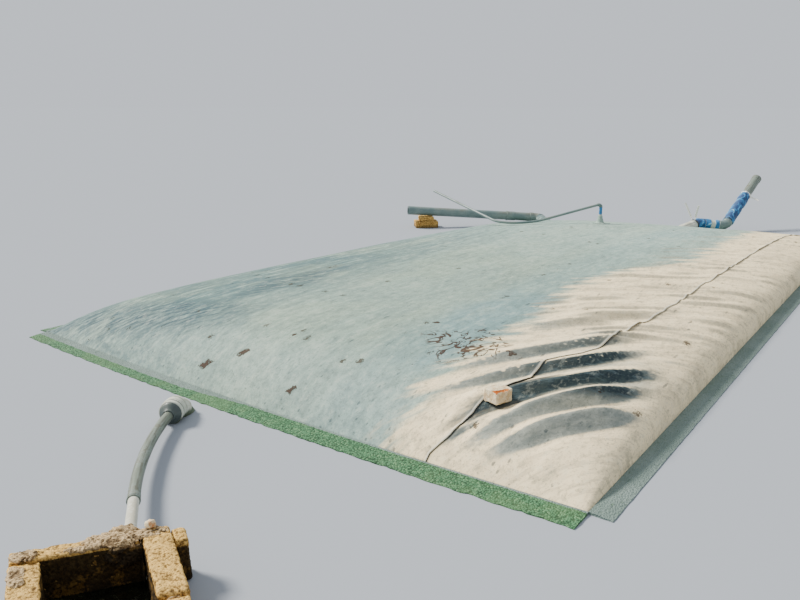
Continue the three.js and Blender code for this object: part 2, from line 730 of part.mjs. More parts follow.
// A half brick that weighs the lap seam down, level with the cover under it and
// lowered until it lies just clear of the sheets and the strip.
function addBrick(under) {
  const [u, v] = BRICK_AT;
  const geometry = new THREE.BoxGeometry(...BRICK);
  const rise = (du, dv) => coverTopAt(u + du, v + dv);
  const normal = vec(
    (rise(-BRICK[0], 0) - rise(BRICK[0], 0)) / (2 * BRICK[0]),
    (rise(0, -BRICK[1]) - rise(0, BRICK[1])) / (2 * BRICK[1]),
    1,
  ).normalize();
  geometry.rotateZ(BRICK_TURN);
  geometry.applyQuaternion(new THREE.Quaternion().setFromUnitVectors(vec(0, 0, 1), normal));
  geometry.translate(u, v, coverTopAt(u, v) + 2 * BRICK[2]);
  for (let step = 0; step < SEATING_STEPS; step += 1) {
    const brick = toSolid(geometry);
    const clearances = under.map((solid) => brick.minGap(solid, 4 * BRICK[2]));
    geometry.translate(0, 0, GAP - Math.min(...clearances));
  }
  add("cover_brick", geometry, colours.brick, 0.9);
}

const carriers = addSheets();
addHems();
addGasOutlet();
addFeedPipe();
addPier();
addInlet();
addOutlet();
addBox();
addBrick(carriers);

const bounds = new THREE.Box3().setFromObject(digester);
const middle = bounds.getCenter(new THREE.Vector3());
digester.position.set(-middle.x, -middle.y, 0);

export default digester;
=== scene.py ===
"""The looks of a low membrane bag digester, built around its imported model. Metres, +Z up.

Lengths that start with u, v and z are in the bag's own frame: u runs across the bag from its near
left corner, v along it away from the near hem, and z up from the water line.
"""
import math
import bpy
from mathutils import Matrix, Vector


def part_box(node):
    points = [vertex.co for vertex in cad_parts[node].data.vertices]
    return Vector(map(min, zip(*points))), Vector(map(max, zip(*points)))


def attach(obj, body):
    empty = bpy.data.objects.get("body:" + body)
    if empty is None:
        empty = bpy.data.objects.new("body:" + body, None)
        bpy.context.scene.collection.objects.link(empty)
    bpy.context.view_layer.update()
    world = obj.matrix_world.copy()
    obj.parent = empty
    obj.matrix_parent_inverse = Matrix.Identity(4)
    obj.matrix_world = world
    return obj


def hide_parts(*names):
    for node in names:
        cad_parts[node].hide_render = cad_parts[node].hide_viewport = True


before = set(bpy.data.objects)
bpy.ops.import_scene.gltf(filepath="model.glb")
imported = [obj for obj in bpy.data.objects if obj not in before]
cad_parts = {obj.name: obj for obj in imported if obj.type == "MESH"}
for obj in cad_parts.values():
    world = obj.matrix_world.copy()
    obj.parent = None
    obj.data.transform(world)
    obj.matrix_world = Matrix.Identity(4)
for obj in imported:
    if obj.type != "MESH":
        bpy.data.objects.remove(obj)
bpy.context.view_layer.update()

from types import SimpleNamespace

import bmesh
import bpy
import numpy as np
from mathutils import Matrix

BODY = "root"
ORIGIN = np.array([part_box("main_cover_sheet")[0].x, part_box("left_hem")[0].y, 0.0])

# Bag plan and crown, as the solids have them
BAG_WIDTH = 4.0
LEFT_LENGTH = 6.6
RIGHT_LENGTH = 7.6
FAR_LEFT_INSET = 0.5
NEAR_BOW = 0.055
CROWN = 0.31
NEAR_RISE = 0.26
ACROSS_POWER = 2.3
ACROSS_ROUND = 0.31
FAR_POWER = 8
FAR_ROUND = 1.2
SHEET = 0.008
SHEET_THICK = 0.004
SEAM_START = 0.82
SEAM_END = 0.88
SEAM_SHIFT_END = 0.12
LAP = 0.030
LAP_LIFT = 0.006
HEM_WIDTH = 0.100
NEAR_HEM_REACH = 0.132
NEAR_HEM_BOW = 0.048
HEM_THICK = 0.012

# Pipes
BIG_PIPE = 0.055
BIG_BORE = 0.051
OUTLET_PIPE = 0.0245
OUTLET_BORE = 0.0215
TAIL_PIPE = 0.021
TAIL_BORE = 0.0185
COUPLING = 0.0265
COUPLING_BEFORE = 0.030
COUPLING_AFTER = 0.020
GAS_PIPE = 0.0135
GAS_BORE = 0.011
WRAP = 0.005
STRAP_WIDTH = 0.022
STRAP_THICK = 0.004
STRAP_END_WIDTH = 0.024
RIB_EVERY = 0.0036
THREAD_EVERY = 0.0045
STRAP_SECTION = np.array([
    (-1, -0.6), (-0.9, -1), (0.9, -1), (1, -0.6), (1, 0.6), (0.9, 1), (-0.9, 1), (-1, 0.6),
])

# Outlet box: its corner in plan, its turn, the skew of its side walls, the right wall's joint,
# where the tail pipe ends, what is wet or green, and how far the painted shade and slurry reach
BOX_SIZE = 0.500
BOX_WALL = 0.100
BOX_INNER = BOX_SIZE - BOX_WALL
BOX_JOINT = 0.006
RIGHT_JOINT_AT = 0.395
BACK_WALL = 0.072
BOX_HEIGHT = 0.180
BOX_CORNER = (2.710, -1.600)
BOX_TURN = math.radians(56)
BOX_SKEW = math.radians(6)
TAIL_ALONG = 0.350
TAIL_HEIGHT = 0.118
BOX_WATER = 0.020
GREEN_BELOW = 0.022
WATER_LAP = 0.010
SHADE_SLURRY_EDGE = 0.007

# Light: the sun stands low, towards the left and a little behind the bag
SUN_FROM = (-0.80, -0.18, 0.72)
SUN_SPREAD = 14
SUN_POWER = 7.0
SUN_COLOUR = (1.0, 0.955, 0.88)
SKY_POWER = 0.95
SKY_COLOUR = (0.78, 0.83, 0.90, 1)
FLOOR_COLOUR = (0.338, 0.364, 0.402, 1)
FLOOR_REACH = 400.0

# Camera
CAMERA_AT = (4.950, -2.517, 1.55)
LOOK_ALONG = (-0.596, 0.803)
PITCH = math.radians(-14.76)
LENS = 33.3


def local(u, v, z):
    """A point of the bag's frame in the part's frame."""
    return np.array([u, v, z], float) + ORIGIN


def unit(vectors):
    """Vectors along the last axis, each with the length 1."""
    return vectors / np.linalg.norm(vectors, axis=-1, keepdims=True)


def towards(start, end, distance):
    """The point at a distance from start on the line to end."""
    return start + unit(end - start) * distance


def smoothstep(value, low, high):
    """0 below low, 1 above high, and 3t2 - 2t3 between them."""
    t = np.clip((value - low) / (high - low), 0.0, 1.0)
    return t * t * (3 - 2 * t)


def lattice_noise(points, cell, seed):
    """Smooth noise from -1 to 1: random numbers on a cubic lattice of that cell, blended by
    smoothstep along each axis. points has its coordinates on the last axis."""
    size = 32
    table = np.random.default_rng(seed).uniform(-1, 1, (size,) * 3)
    scaled = np.asarray(points, float) / cell
    base = np.floor(scaled).astype(int)
    share = scaled - base
    share = share * share * (3 - 2 * share)
    total = 0.0
    for corner in np.ndindex(2, 2, 2):
        index = (base + corner) % size
        weight = np.where(np.array(corner) == 1, share, 1 - share).prod(-1)
        total = total + weight * table[index[..., 0], index[..., 1], index[..., 2]]
    return total


def flat_noise(u, v, cell_u, cell_v, seed):
    """Lattice noise over the plan, with cells of different length across and along."""
    return lattice_noise(np.stack([u / cell_u, v / cell_v, np.zeros_like(u)], -1), 1.0, seed)


def place(name, data):
    """An object of the scene."""
    made = bpy.data.objects.new(name, data)
    bpy.context.scene.collection.objects.link(made)
    return made


def backed_to(back):
    """The turn of a camera or lamp that looks away from a direction, with its top up."""
    right = unit(np.cross((0, 0, 1), back))
    up = np.cross(back, right)
    return Matrix([[right[k], up[k], back[k]] for k in range(3)]).to_4x4()


# Camera
def add_camera():
    """The camera stands on the near bank, right of the bag, and looks down along it."""
    data = bpy.data.cameras.new("camera")
    data.lens = LENS
    camera = place("camera", data)
    along = np.array([*LOOK_ALONG, 0.0]) / np.linalg.norm(LOOK_ALONG)
    forward = along * math.cos(PITCH) + np.array([0, 0, math.sin(PITCH)])
    camera.matrix_world = Matrix.Translation(local(*CAMERA_AT)) @ backed_to(-forward)
    bpy.context.scene.camera = camera


# Finishes
def paint(red, green, blue, light=1.0):
    """A colour given in 0 to 255 as a screen shows it, as the linear values of a shader."""
    shares = np.array([red, green, blue]) / 255
    linear = np.where(shares <= 0.04045, shares / 12.92, ((shares + 0.055) / 1.055) ** 2.4)
    return (*linear * light, 1.0)


def painted(colour):
    """Linear values for a triple of 0 to 255, and any other colour as it is."""
    return paint(*colour) if isinstance(colour, tuple) and len(colour) == 3 else colour


class Value:
    """A number that varies over a surface: a socket whose sums add Math nodes."""

    def __init__(self, finish, socket):
        self.finish = finish
        self.socket = socket

    def __add__(self, other):
        return self.finish.math("ADD", self, other)

    def __sub__(self, other):
        return self.finish.math("SUBTRACT", self, other)

    def __rsub__(self, other):
        return self.finish.math("SUBTRACT", other, self)

    def __mul__(self, other):
        return self.finish.math("MULTIPLY", self, other)

    def __abs__(self):
        return self.finish.math("ABSOLUTE", self)

    __radd__ = __add__
    __rmul__ = __mul__


class Finish:
    """One material: its nodes, its maths and its shader."""

    def __init__(self, name):
        self.material = bpy.data.materials.new(name)
        self.material.use_nodes = True
        self.tree = self.material.node_tree
        self.tree.nodes.clear()
        self.place = self.node("TexCoord").outputs["Object"]

    def node(self, kind, settings=None, **inputs):
        """A shader node of that kind. Its settings are set first, then its sockets' values or
        links, which are named by the socket's name, or by _ and its number."""
        made = self.tree.nodes.new("ShaderNode" + kind)
        for key, value in (settings or {}).items():
            setattr(made, key, value)
        for key, value in inputs.items():
            socket = made.inputs[int(key[1:]) if key[0] == "_" else key.replace("_", " ")]
            if isinstance(value, Value):
                value = value.socket
            if isinstance(value, bpy.types.NodeSocket):
                self.tree.links.new(value, socket)
            else:
                socket.default_value = value
        return made

    def math(self, operation, first, second=0.0):
        """A sum of one or two values."""
        made = self.node("Math", {"operation": operation}, _0=first, _1=second)
        return Value(self, made.outputs[0])

    def most(self, first, second):
        """The greater of two values."""
        return self.math("MAXIMUM", first, second)

    def scaled(self, size, long, shift):
        """The place on the object in units of size, long times that along it, and then shifted."""
        settings = {"operation": "MULTIPLY_ADD"}
        stretch = tuple(1 / size / s for s in (1, long, 1))
        made = self.node("VectorMath", settings, _0=self.place, _1=stretch, _2=shift)
        return made.outputs[0]

    def noise(self, size, long=1, detail=4, rough=0.55, shift=0.0, twist=0.0):
        """Noise from 0 to 1 with features of that size in metres, long times that along the bag."""
        vector = self.scaled(size, long, (shift, shift * 1.7, shift * 0.6))
        settings = {"Vector": vector, "Scale": 1.0, "Detail": detail, "Roughness": rough}
        made = self.node("TexNoise", Distortion=twist, **settings)
        return Value(self, made.outputs[0])

    def noise_over(self, x, y, detail=4, rough=0.55):
        """Noise from 0 to 1 over two values, with features about 1 wide in each."""
        vector = self.node("CombineXYZ", X=x, Y=y, Z=0.0).outputs[0]
        settings = {"Vector": vector, "Scale": 1.0, "Detail": detail, "Roughness": rough}
        return Value(self, self.node("TexNoise", **settings).outputs[0])

    def cells(self, size, long=1, shift=0.0):
        """The distance to the nearest of scattered points, and that point's random number."""
        vector = self.scaled(size, long, (shift, shift * 1.3, shift * 0.4))
        made = self.node("TexVoronoi", Vector=vector, Scale=1.0, Randomness=1.0)
        colour = self.node("SeparateColor", _0=made.outputs["Color"])
        return Value(self, made.outputs["Distance"]), Value(self, colour.outputs[0])

    def step(self, value, low, high):
        """0 where value is at low and 1 at high, smooth between; low may be above high."""
        if low > high:
            return 1 - self.step(value, high, low)
        settings = {"interpolation_type": "SMOOTHSTEP"}
        made = self.node("MapRange", settings, _0=value, _1=low, _2=high)
        return Value(self, made.outputs[0])

    def parts(self, vector):
        """The three numbers of a vector."""
        made = self.node("SeparateXYZ", _0=vector)
        return [Value(self, made.outputs[k]) for k in range(3)]

    def height(self):
        """The height of a place on the object."""
        return self.parts(self.place)[2]

    def facing_up(self):
        """1 where the surface faces up, 0 at a wall and -1 underneath."""
        return self.parts(self.node("NewGeometry").outputs["Normal"])[2]

    def attribute(self, name):
        """A value that the piece's points carry."""
        made = self.node("Attribute", {"attribute_name": name})
        return Value(self, made.outputs["Fac"])

    def lanes(self):
        """The two values of the piece's own map: metres around it and metres along it."""
        return self.parts(self.node("UVMap", {"uv_map": "lanes"}).outputs[0])[:2]

    def mix(self, share, first, second):
        """The first colour where share is 0 and the second where it is 1."""
        settings = {"data_type": "RGBA", "blend_type": "MIX", "clamp_factor": True}
        made = self.node("Mix", settings, _0=share, _6=painted(first), _7=painted(second))
        return made.outputs[2]

    def layers(self, base, *coats):
        """A colour with coats over it, each a share and a colour. A share may be spelled out as a
        value, where the coat starts, where it is full, and how strong it is there."""
        for share, *spelled, colour in coats:
            if spelled:
                low, high, most = spelled
                share = self.step(share, low, high) * most
            base = self.mix(share, base, colour)
        return base

    def shade(self, colour, roughness, height=None, depth=0.001, **constants):
        """The surface: a principled shader with a bump whose height is in metres times depth."""
        inputs = {"Base_Color": colour, "Roughness": roughness, **constants}
        if height is not None:
            bump = self.node("Bump", Strength=1.0, Distance=depth, Height=height)
            inputs["Normal"] = bump.outputs[0]
        shader = self.node("BsdfPrincipled", **inputs)
        self.node("OutputMaterial", Surface=shader.outputs[0])
        return self.material


# Paints of the cover, and of what lies on it
COVER_MIDDLE = (142, 161, 149)
COVER_LEFT = (86, 112, 114)
COVER_BLUE = (118, 149, 152)
COVER_CORNER = (34, 58, 76)
# Cream of painted sunlight on dry silt, on the right part of the cover
SUNLIT_SILT = (255, 234, 190)
# Small heaps of wet leaves on the cover: u, v and size
FALLEN_LEAVES = [
    (1.84, 0.17, 0.050), (1.65, 0.05, 0.055), (2.34, 0.05, 0.034), (2.02, 0.40, 0.026),
    (2.62, 0.98, 0.034),
]
# The way that dust and scratches were dragged over the cover: cosine and sine
DRAG = (0.62, 0.78)


def membrane_noises(f):
    """The cover's own places and noises: u and v in metres, and smears, streaks and grains of many
    sizes. thin and feather are dragged aslant, from the near left to the far right."""
    n = SimpleNamespace()
    n.u, n.v = f.lanes()
    n.broad = f.noise(0.70, long=1.8, detail=3, shift=3.1)
    n.cloud = f.noise(0.22, long=2.2, detail=6, rough=0.66, shift=5.2)
    n.streak = f.noise(0.045, long=11, detail=5, rough=0.62, shift=1.3, twist=0.5)
    n.mottle = f.noise(0.036, long=2.4, detail=6, rough=0.72, shift=2.0)
    n.grain = f.noise(0.011, long=1.5, detail=4, rough=0.75, shift=7.0)
    over = n.v * DRAG[0] - n.u * DRAG[1]
    along = n.v * DRAG[1] + n.u * DRAG[0]
    n.thin = f.noise_over(over * 38, along * 5.0, 5, 0.7)
    n.feather = f.noise_over(over * 15, along * 2.6, 5, 0.6)
    n.wander = (n.cloud - 0.5) * 0.30 + (n.broad - 0.5) * 0.5
    return n


def membrane_paint(f, n):
    """Greenish grey, bluer and scratched on the left, brushed dark in the near left corner, and on the
    right cream painted sunlight with dry silt in it."""
    left = f.step(n.u + n.wander * 0.7, 1.95, 0.65)
    stroke = abs(n.v - 0.14 - 0.20 * n.u + n.wander * 0.6)
    brushed = f.step(stroke, 0.34, 0.08) * f.step(n.u, 1.75, 1.15)
    curl = abs(n.u - 1.14 + n.wander * 0.5) * 3.4 + abs(n.v - 1.30 + n.wander) * 1.1
    corner = f.most(brushed, f.step(curl, 1.05, 0.35)) * (0.30 + 0.70 * f.step(n.thin, 0.44, 0.58))
    blue_lane = f.step(abs(n.u + n.wander * 0.5 - 2.78), 0.34, 0.10)
    inward = 0.13 * f.step(abs(n.v - 2.5), 1.1, 0.1)
    # The right part is painted cream as sunlight on dry silt, with a feathered edge towards the shade
    sunny_edge = 3.03 - inward + 0.22 * f.step(n.v, 3.0, 3.8) + (n.feather - 0.5) * 0.62
    sunlit_silt = f.step(n.u - sunny_edge, -0.07, 0.11)
    return f.layers(
        COVER_MIDDLE,
        (left * 0.9, COVER_LEFT),
        (blue_lane * 0.7, COVER_BLUE),
        (n.broad, 0.46, 0.58, 0.30, (150, 164, 142)),
        (n.v, 2.2, 4.6, 0.50, (168, 190, 180)),
        (n.v, 0.60, 0.10, 0.55, (166, 184, 174)),
        (corner * 0.80, COVER_CORNER),
        (f.step(n.streak, 0.50, 0.60) * (0.14 + 0.34 * left), (82, 106, 114)),
        (f.step(n.streak, 0.47, 0.38) * (0.18 + 0.20 * left) * (1 - 0.6 * corner), (168, 192, 180)),
        (n.cloud, 0.50, 0.62, 0.24, (104, 126, 122)),
        (n.cloud, 0.47, 0.36, 0.26, (178, 192, 174)),
        # Painted sunlight with silt: cream, with darker streaks and patches in it
        (sunlit_silt * 0.96, SUNLIT_SILT),
        (sunlit_silt * f.step(n.feather, 0.50, 0.62) * 0.40, (204, 186, 150)),
        (sunlit_silt * f.step(n.cloud, 0.50, 0.60) * 0.35, (206, 190, 158)),
        (sunlit_silt * f.step(n.thin, 0.51, 0.62) * 0.40, (186, 172, 142)),
    )


def membrane_shade(f, n, colour):
    """The colour with painted shade, partly damp, on the steep side of every fold that faces away from
    the light and in the hollows between them, how pleated a place is, and how deep the painted shade is."""
    valley = f.attribute("valley")
    soft = f.attribute("lee") + (n.feather - 0.5) * 0.12
    soft = soft + (n.mottle - 0.5) * 0.16 + (n.thin - 0.5) * 0.30
    # shade is painted shade on the sides of the folds away from the light and in the valleys
    shade = f.most(f.step(soft, -0.02, 0.34), valley * (0.85 + (n.thin - 0.5) * 1.2))
    pleated = f.step(n.v + n.wander * 0.4, 1.75, 1.15)
    to_right = f.step(n.u + n.wander * 0.3, 3.12, 3.56) * pleated
    # deep is the darkest painted shade: on the steep sides of the folds on the right, in the valleys, and in
    # the painted shadow under the brick
    deep = f.most(f.step(soft, 0.12, 0.50) * to_right, valley * f.step(soft, -0.12, 0.30))
    deep = f.most(deep * f.attribute("folded"), f.attribute("hollow") * (0.96 + (n.thin - 0.5) * 0.7))
    colour = f.layers(
        colour,
        (shade * (1 - pleated) * 0.65, (164, 156, 134)),
        (shade * pleated * 0.80, (104, 124, 128)),
        (shade * pleated * f.step(n.thin, 0.49, 0.40) * 0.30, (190, 192, 176)),
        (deep * 0.95, (30, 46, 54)),
        (deep * f.step(n.thin, 0.50, 0.60) * 0.30, (112, 130, 134)),
        (n.mottle, 0.50, 0.62, 0.26, (84, 98, 94)),
        (n.mottle, 0.47, 0.38, 0.14, (222, 226, 208)),
        (n.grain, 0.53, 0.64, 0.34, (70, 80, 74)),
    )
    return colour, pleated, deep


def membrane_marks(f, n):
    """Leaves, litter, dots and scratches, each from 0 to 1."""
    near, number = f.cells(0.090, long=1.6, shift=4.0)
    leaf = f.step(near + (n.grain - 0.5) * 1.1 - (number - 0.93) * 1.4, 0.120, 0.080)
    leaf = leaf * f.step(number, 0.880, 0.900)
    near, number = f.cells(0.052, long=2.2, shift=11.0)
    dot = f.step(near + (n.grain - 0.5) * 0.7, 0.100, 0.060) * f.step(number, 0.66, 0.70)
    near, number = f.cells(0.034, long=5.0, shift=9.0)
    scratch = f.step(near + (n.grain - 0.5) * 0.6, 0.24, 0.15) * f.step(number, 0.52, 0.58)
    scratch = scratch * f.step(n.cloud, 0.49, 0.56) * f.step(n.v, 3.6, 2.4)
    reach = abs(n.u - 2.96) * 3.0 + abs(n.v - 0.80) * 3.0 + (n.mottle - 0.5) * 0.8
    thread = abs(f.noise(0.150, long=1.6, detail=2, shift=6.1, twist=1.2) - 0.5)
    litter = f.most(f.step(thread, 0.028, 0.012), f.step(f.noise(0.055, detail=3, shift=8.3), 0.575, 0.605))
    litter = litter * f.step(reach, 1.05, 0.75)
    for at_u, at_v, size in FALLEN_LEAVES:
        reach = abs(n.u - at_u + (n.v - at_v) * 0.3) + abs(n.v - at_v - (n.u - at_u) * 0.5) * 1.5
        reach = reach + (n.mottle - 0.5) * 0.16 + (n.grain - 0.5) * 0.05
        litter = f.most(litter, f.step(reach, size, size * 0.7))
    return leaf, litter, dot, scratch


def membrane_finish(name):
    """Dusty polyethylene, by the bag's own u and v, with its folds, its free edge and what lies on
    it."""
    f = Finish(name)
    n = membrane_noises(f)
    colour, pleated, deep = membrane_shade(f, n, membrane_paint(f, n))
    leaf, litter, dot, scratch = membrane_marks(f, n)
    colour = f.layers(
        colour,
        # Painted shadow beneath the lap's free edge, and a painted highlight along that edge
        (f.attribute("under") * (0.4 + 0.5 * pleated), (40, 44, 44)),
        (f.attribute("lip") * 0.7, (240, 234, 214)),
        (scratch * 0.60, (56, 72, 78)),
        (dot * 0.55, (84, 92, 86)),
        (leaf * 0.85, (72, 60, 48)),
        (litter * 0.9, (66, 42, 30)),
    )
    roughness = 0.78 + 0.18 * n.mottle - 0.20 * deep
    height = n.grain * 0.6 + n.mottle * 0.5 + leaf * 1.2 + litter * 1.6
    return f.shade(colour, roughness, height, depth=0.0022, Specular_IOR_Level=0.04)


def hem_finish():
    """A welded edge under an even crust of fine green grains: each grain has its own green, and
    the gaps between them are dark. Away from the crust the wet sheet shows, painted darker as the shade on
    the cover's near slope."""
    f = Finish("wet_hem")
    near, number = f.cells(0.0085, shift=1.0)
    broad = f.noise(0.30, detail=3, shift=2.0)
    fine = f.noise(0.020, detail=4, rough=0.7, shift=3.0)
    crust = f.attribute("crust")
    green = f.layers(
        (78, 124, 86),
        (number, 0.50, 0.56, 0.75, (50, 90, 58)),
        (number, 0.80, 0.86, 0.8, (108, 150, 106)),
        (near, 0.50, 0.72, 0.80, (30, 54, 36)),
        (broad, 0.46, 0.56, 0.30, (94, 124, 80)),
    )
    # The bare sheet is painted as dark as the shaded near slope of the cover
    sheet = f.layers(
        (118, 134, 128), (broad, 0.40, 0.60, 0.6, (102, 120, 112)),
        (fine, 0.52, 0.68, 0.5, (74, 90, 78)),
    )
    colour = f.mix(f.step(crust + (fine - 0.5) * 1.1, 0.30, 0.55), sheet, green)
    height = 1 - near
    return f.shade(colour, 0.80, height, depth=0.0045, Specular_IOR_Level=0.25)


def pipe_finish(name, base, worn, dirt, waterline=None):
    """Unplasticised pipe: a plain colour, bleached and scuffed along it, with dirt that lies on
    top and in specks. Below a waterline it is green."""
    f = Finish(name)
    around, along = f.lanes()
    broad = f.noise(0.20, detail=4, shift=1.0)
    fine = f.noise(0.012, detail=5, rough=0.7, shift=2.0)
    scuff = f.step(f.noise_over(around * 160, along * 9), 0.55, 0.72)
    top = f.step(f.facing_up(), 0.2, 0.9)
    smear = f.step(broad + (fine - 0.5) * 0.6, 0.46, 0.66)
    soil = f.attribute("soil")
    stripe = f.noise_over(around * 70, along * 5)
    colour = f.layers(
        base,
        (soil * 0.8, (112, 116, 98)),
        (broad, 0.40, 0.62, 0.7, worn),
        (soil * f.step(stripe, 0.48, 0.60) * 0.7, (70, 70, 56)),
        (soil * f.step(broad + (stripe - 0.5) * 0.5, 0.50, 0.58) * 0.5, (86, 92, 76)),
        (scuff * 0.45, worn),
        (smear * (0.25 + 0.75 * top) * 0.5, dirt),
        (fine, 0.62, 0.74, 0.5, paint(*dirt, 0.55)),
    )
    if waterline is not None:
        wet = f.step(f.height() + (fine - 0.5) * 0.03, waterline + 0.020, waterline)
        colour = f.layers(colour, (wet * 0.9, (52, 70, 38)))
    height = fine * 0.6 + scuff * 0.3
    return f.shade(colour, 0.38 + 0.30 * smear + 0.1 * scuff, height, depth=0.0008)


def wrap_finish():
    """Blue tape cloth: fine threads, with painted shade in its creases and painted highlights on its folds.
    """
    f = Finish("blue_wrap")
    around, along = f.lanes()
    thread = 2 * math.pi / THREAD_EVERY
    weave = 0.5 + 0.25 * (f.math("SINE", around * thread) * f.math("SINE", along * thread))
    fold = f.attribute("relief")
    broad = f.noise(0.09, detail=5, rough=0.6, shift=1.0)
    fine = f.noise(0.010, detail=4, rough=0.7, shift=2.0)
    colour = f.layers(
        (12, 104, 158),
        (broad, 0.46, 0.58, 0.6, (40, 128, 186)),
        (weave * 0.18, (90, 160, 204)),
        # Painted highlight on the raised folds, and painted shade in the creases
        (fold + (fine - 0.5) * 0.003, 0.0040, 0.0080, 0.85, (150, 212, 228)),
        (fold, 0.0010, -0.0025, 0.85, (4, 44, 96)),
    )
    height = weave * 0.4 + fine * 0.6
    return f.shade(colour, 0.50 + 0.2 * fine, height, depth=0.0010, Sheen_Weight=0.10)


def strap_finish(name, base, grime):
    """Moulded strap with fine ribs along it and grime between them."""
    f = Finish(name)
    along = f.lanes()[1]
    rib = 0.5 + 0.5 * f.math("SINE", along * (2 * math.pi / RIB_EVERY))
    fine = f.noise(0.010, detail=4, rough=0.7, shift=2.0)
    colour = f.layers(base, (fine, 0.45, 0.70, 0.6, grime), ((1 - rib) * 0.25, grime))
    return f.shade(colour, 0.5 + 0.2 * fine, rib, depth=0.0008)


def block_finish(name, light, warm, dark, stain):
    """Porous masonry: coarse sand grains with deep pores, bleached in patches, painted lighter on top as
    light and darker in its pits as shade. Inside the box and on the corner block's sides it is painted near
    black, as shade and slurry together, with ochre stains, and low down outside it is damp."""
    f = Finish(name)
    patch = f.noise(0.10, detail=5, rough=0.6, shift=1.0)
    grit = f.noise(0.011, detail=3, rough=0.6, shift=4.0)
    grain = f.noise(0.0055, detail=4, rough=0.7, shift=2.0)
    # Tops are painted lighter, as the light that falls on them
    up = f.step(f.facing_up(), 0.1, 0.8)
    colour = f.layers(
        warm,
        (patch, 0.42, 0.58, 0.7, stain),
        (up * 0.45, light),
        (grit, 0.50, 0.60, 0.6, light),
        (grit, 0.47, 0.39, 0.7, dark),
        (grain, 0.47, 0.38, 0.5, dark),
        # Painted shade in the pits, where the relief sinks
        (f.attribute("relief"), -0.0010, -0.0050, 0.8, dark),
    )
    # Painted shade and slurry together: the pit's faces and the corner block's sides are made near black
    wet = f.step(f.attribute("inside") + (patch - 0.5) * 0.7, 0.35, 0.65)
    damp = f.step(f.height() + (patch - 0.5) * 0.06, 0.055, 0.020)
    ochre = f.step(patch + (grit - 0.5) * 0.3, 0.52, 0.62)
    colour = f.layers(
        colour,
        (damp * 0.6, (60, 56, 38)),
        (wet * 0.94, (34, 27, 18)),
        (wet * ochre * 0.70, (122, 92, 42)),
    )
    height = grit * 1.0 + grain * 0.5
    return f.shade(colour, 0.90 + 0.1 * grain, height, depth=0.0090, Specular_IOR_Level=0.15)


def brick_finish():
    """A half brick: cream lime wash and dust, with the orange fired clay bare where it broke, and one face
    painted darker as shade.
    """
    f = Finish("brick")
    broken = f.attribute("broken")
    patch = f.noise(0.030, detail=4, rough=0.6, shift=1.5)
    grain = f.noise(0.005, detail=4, rough=0.7, shift=2.0)
    clay = f.layers(
        (176, 92, 34),
        (patch, 0.48, 0.56, 0.6, (222, 150, 84)),
        (grain, 0.46, 0.38, 0.7, (118, 54, 22)),
    )
    wash = f.layers(
        (240, 224, 188),
        (patch, 0.48, 0.60, 0.6, (206, 170, 120)),
        (grain, 0.47, 0.38, 0.6, (150, 118, 82)),
    )
    colour = f.mix(f.step(broken + (patch - 0.5) * 0.8, 0.42, 0.60), wash, clay)
    # Below 0 the brick is painted darker: painted shade on the face away from the light
    colour = f.layers(colour, (broken, -0.25, -0.65, 0.55, (138, 112, 86)))
    return f.shade(colour, 0.85 + 0.1 * grain, grain, depth=0.0030, Specular_IOR_Level=0.2)


def water_finish():
    """Still dark slurry water with a dull film."""
    f = Finish("box_water")
    film = f.step(f.noise(0.05, detail=5, rough=0.6, twist=1.0), 0.48, 0.66)
    colour = f.layers((16, 17, 12), (film * 0.5, (44, 46, 30)))
    return f.shade(colour, 0.10 + 0.25 * film, film, depth=0.0006)


FINISHES = {}


def make_finishes():
    """One material for each slot of the record, and the water in the box."""
    FINISHES.update(
        membrane=membrane_finish("membrane"),
        membrane_sunlit=membrane_finish("membrane_sunlit"),
        wet_hem=hem_finish(),
        grey_pvc=pipe_finish("grey_pvc", (98, 118, 116), (134, 150, 144), (92, 76, 52)),
        pale_pvc=pipe_finish("pale_pvc", (190, 194, 178), (220, 220, 208), (140, 130, 98), GREEN_BELOW),
        dark_pvc=pipe_finish("dark_pvc", (64, 74, 72), (84, 94, 90), (100, 106, 84)),
        blue_wrap=wrap_finish(),
        pale_strap=strap_finish("pale_strap", (255, 253, 244), (228, 222, 202)),
        dark_strap=strap_finish("dark_strap", (44, 50, 56), (86, 88, 80)),
        block=block_finish("block", (248, 208, 124), (206, 160, 82), (66, 44, 22), (164, 118, 56)),
        mortar=block_finish("mortar", (222, 196, 152), (184, 154, 112), (76, 56, 34), (146, 116, 78)),
        brick=brick_finish(),
        box_water=water_finish(),
    )


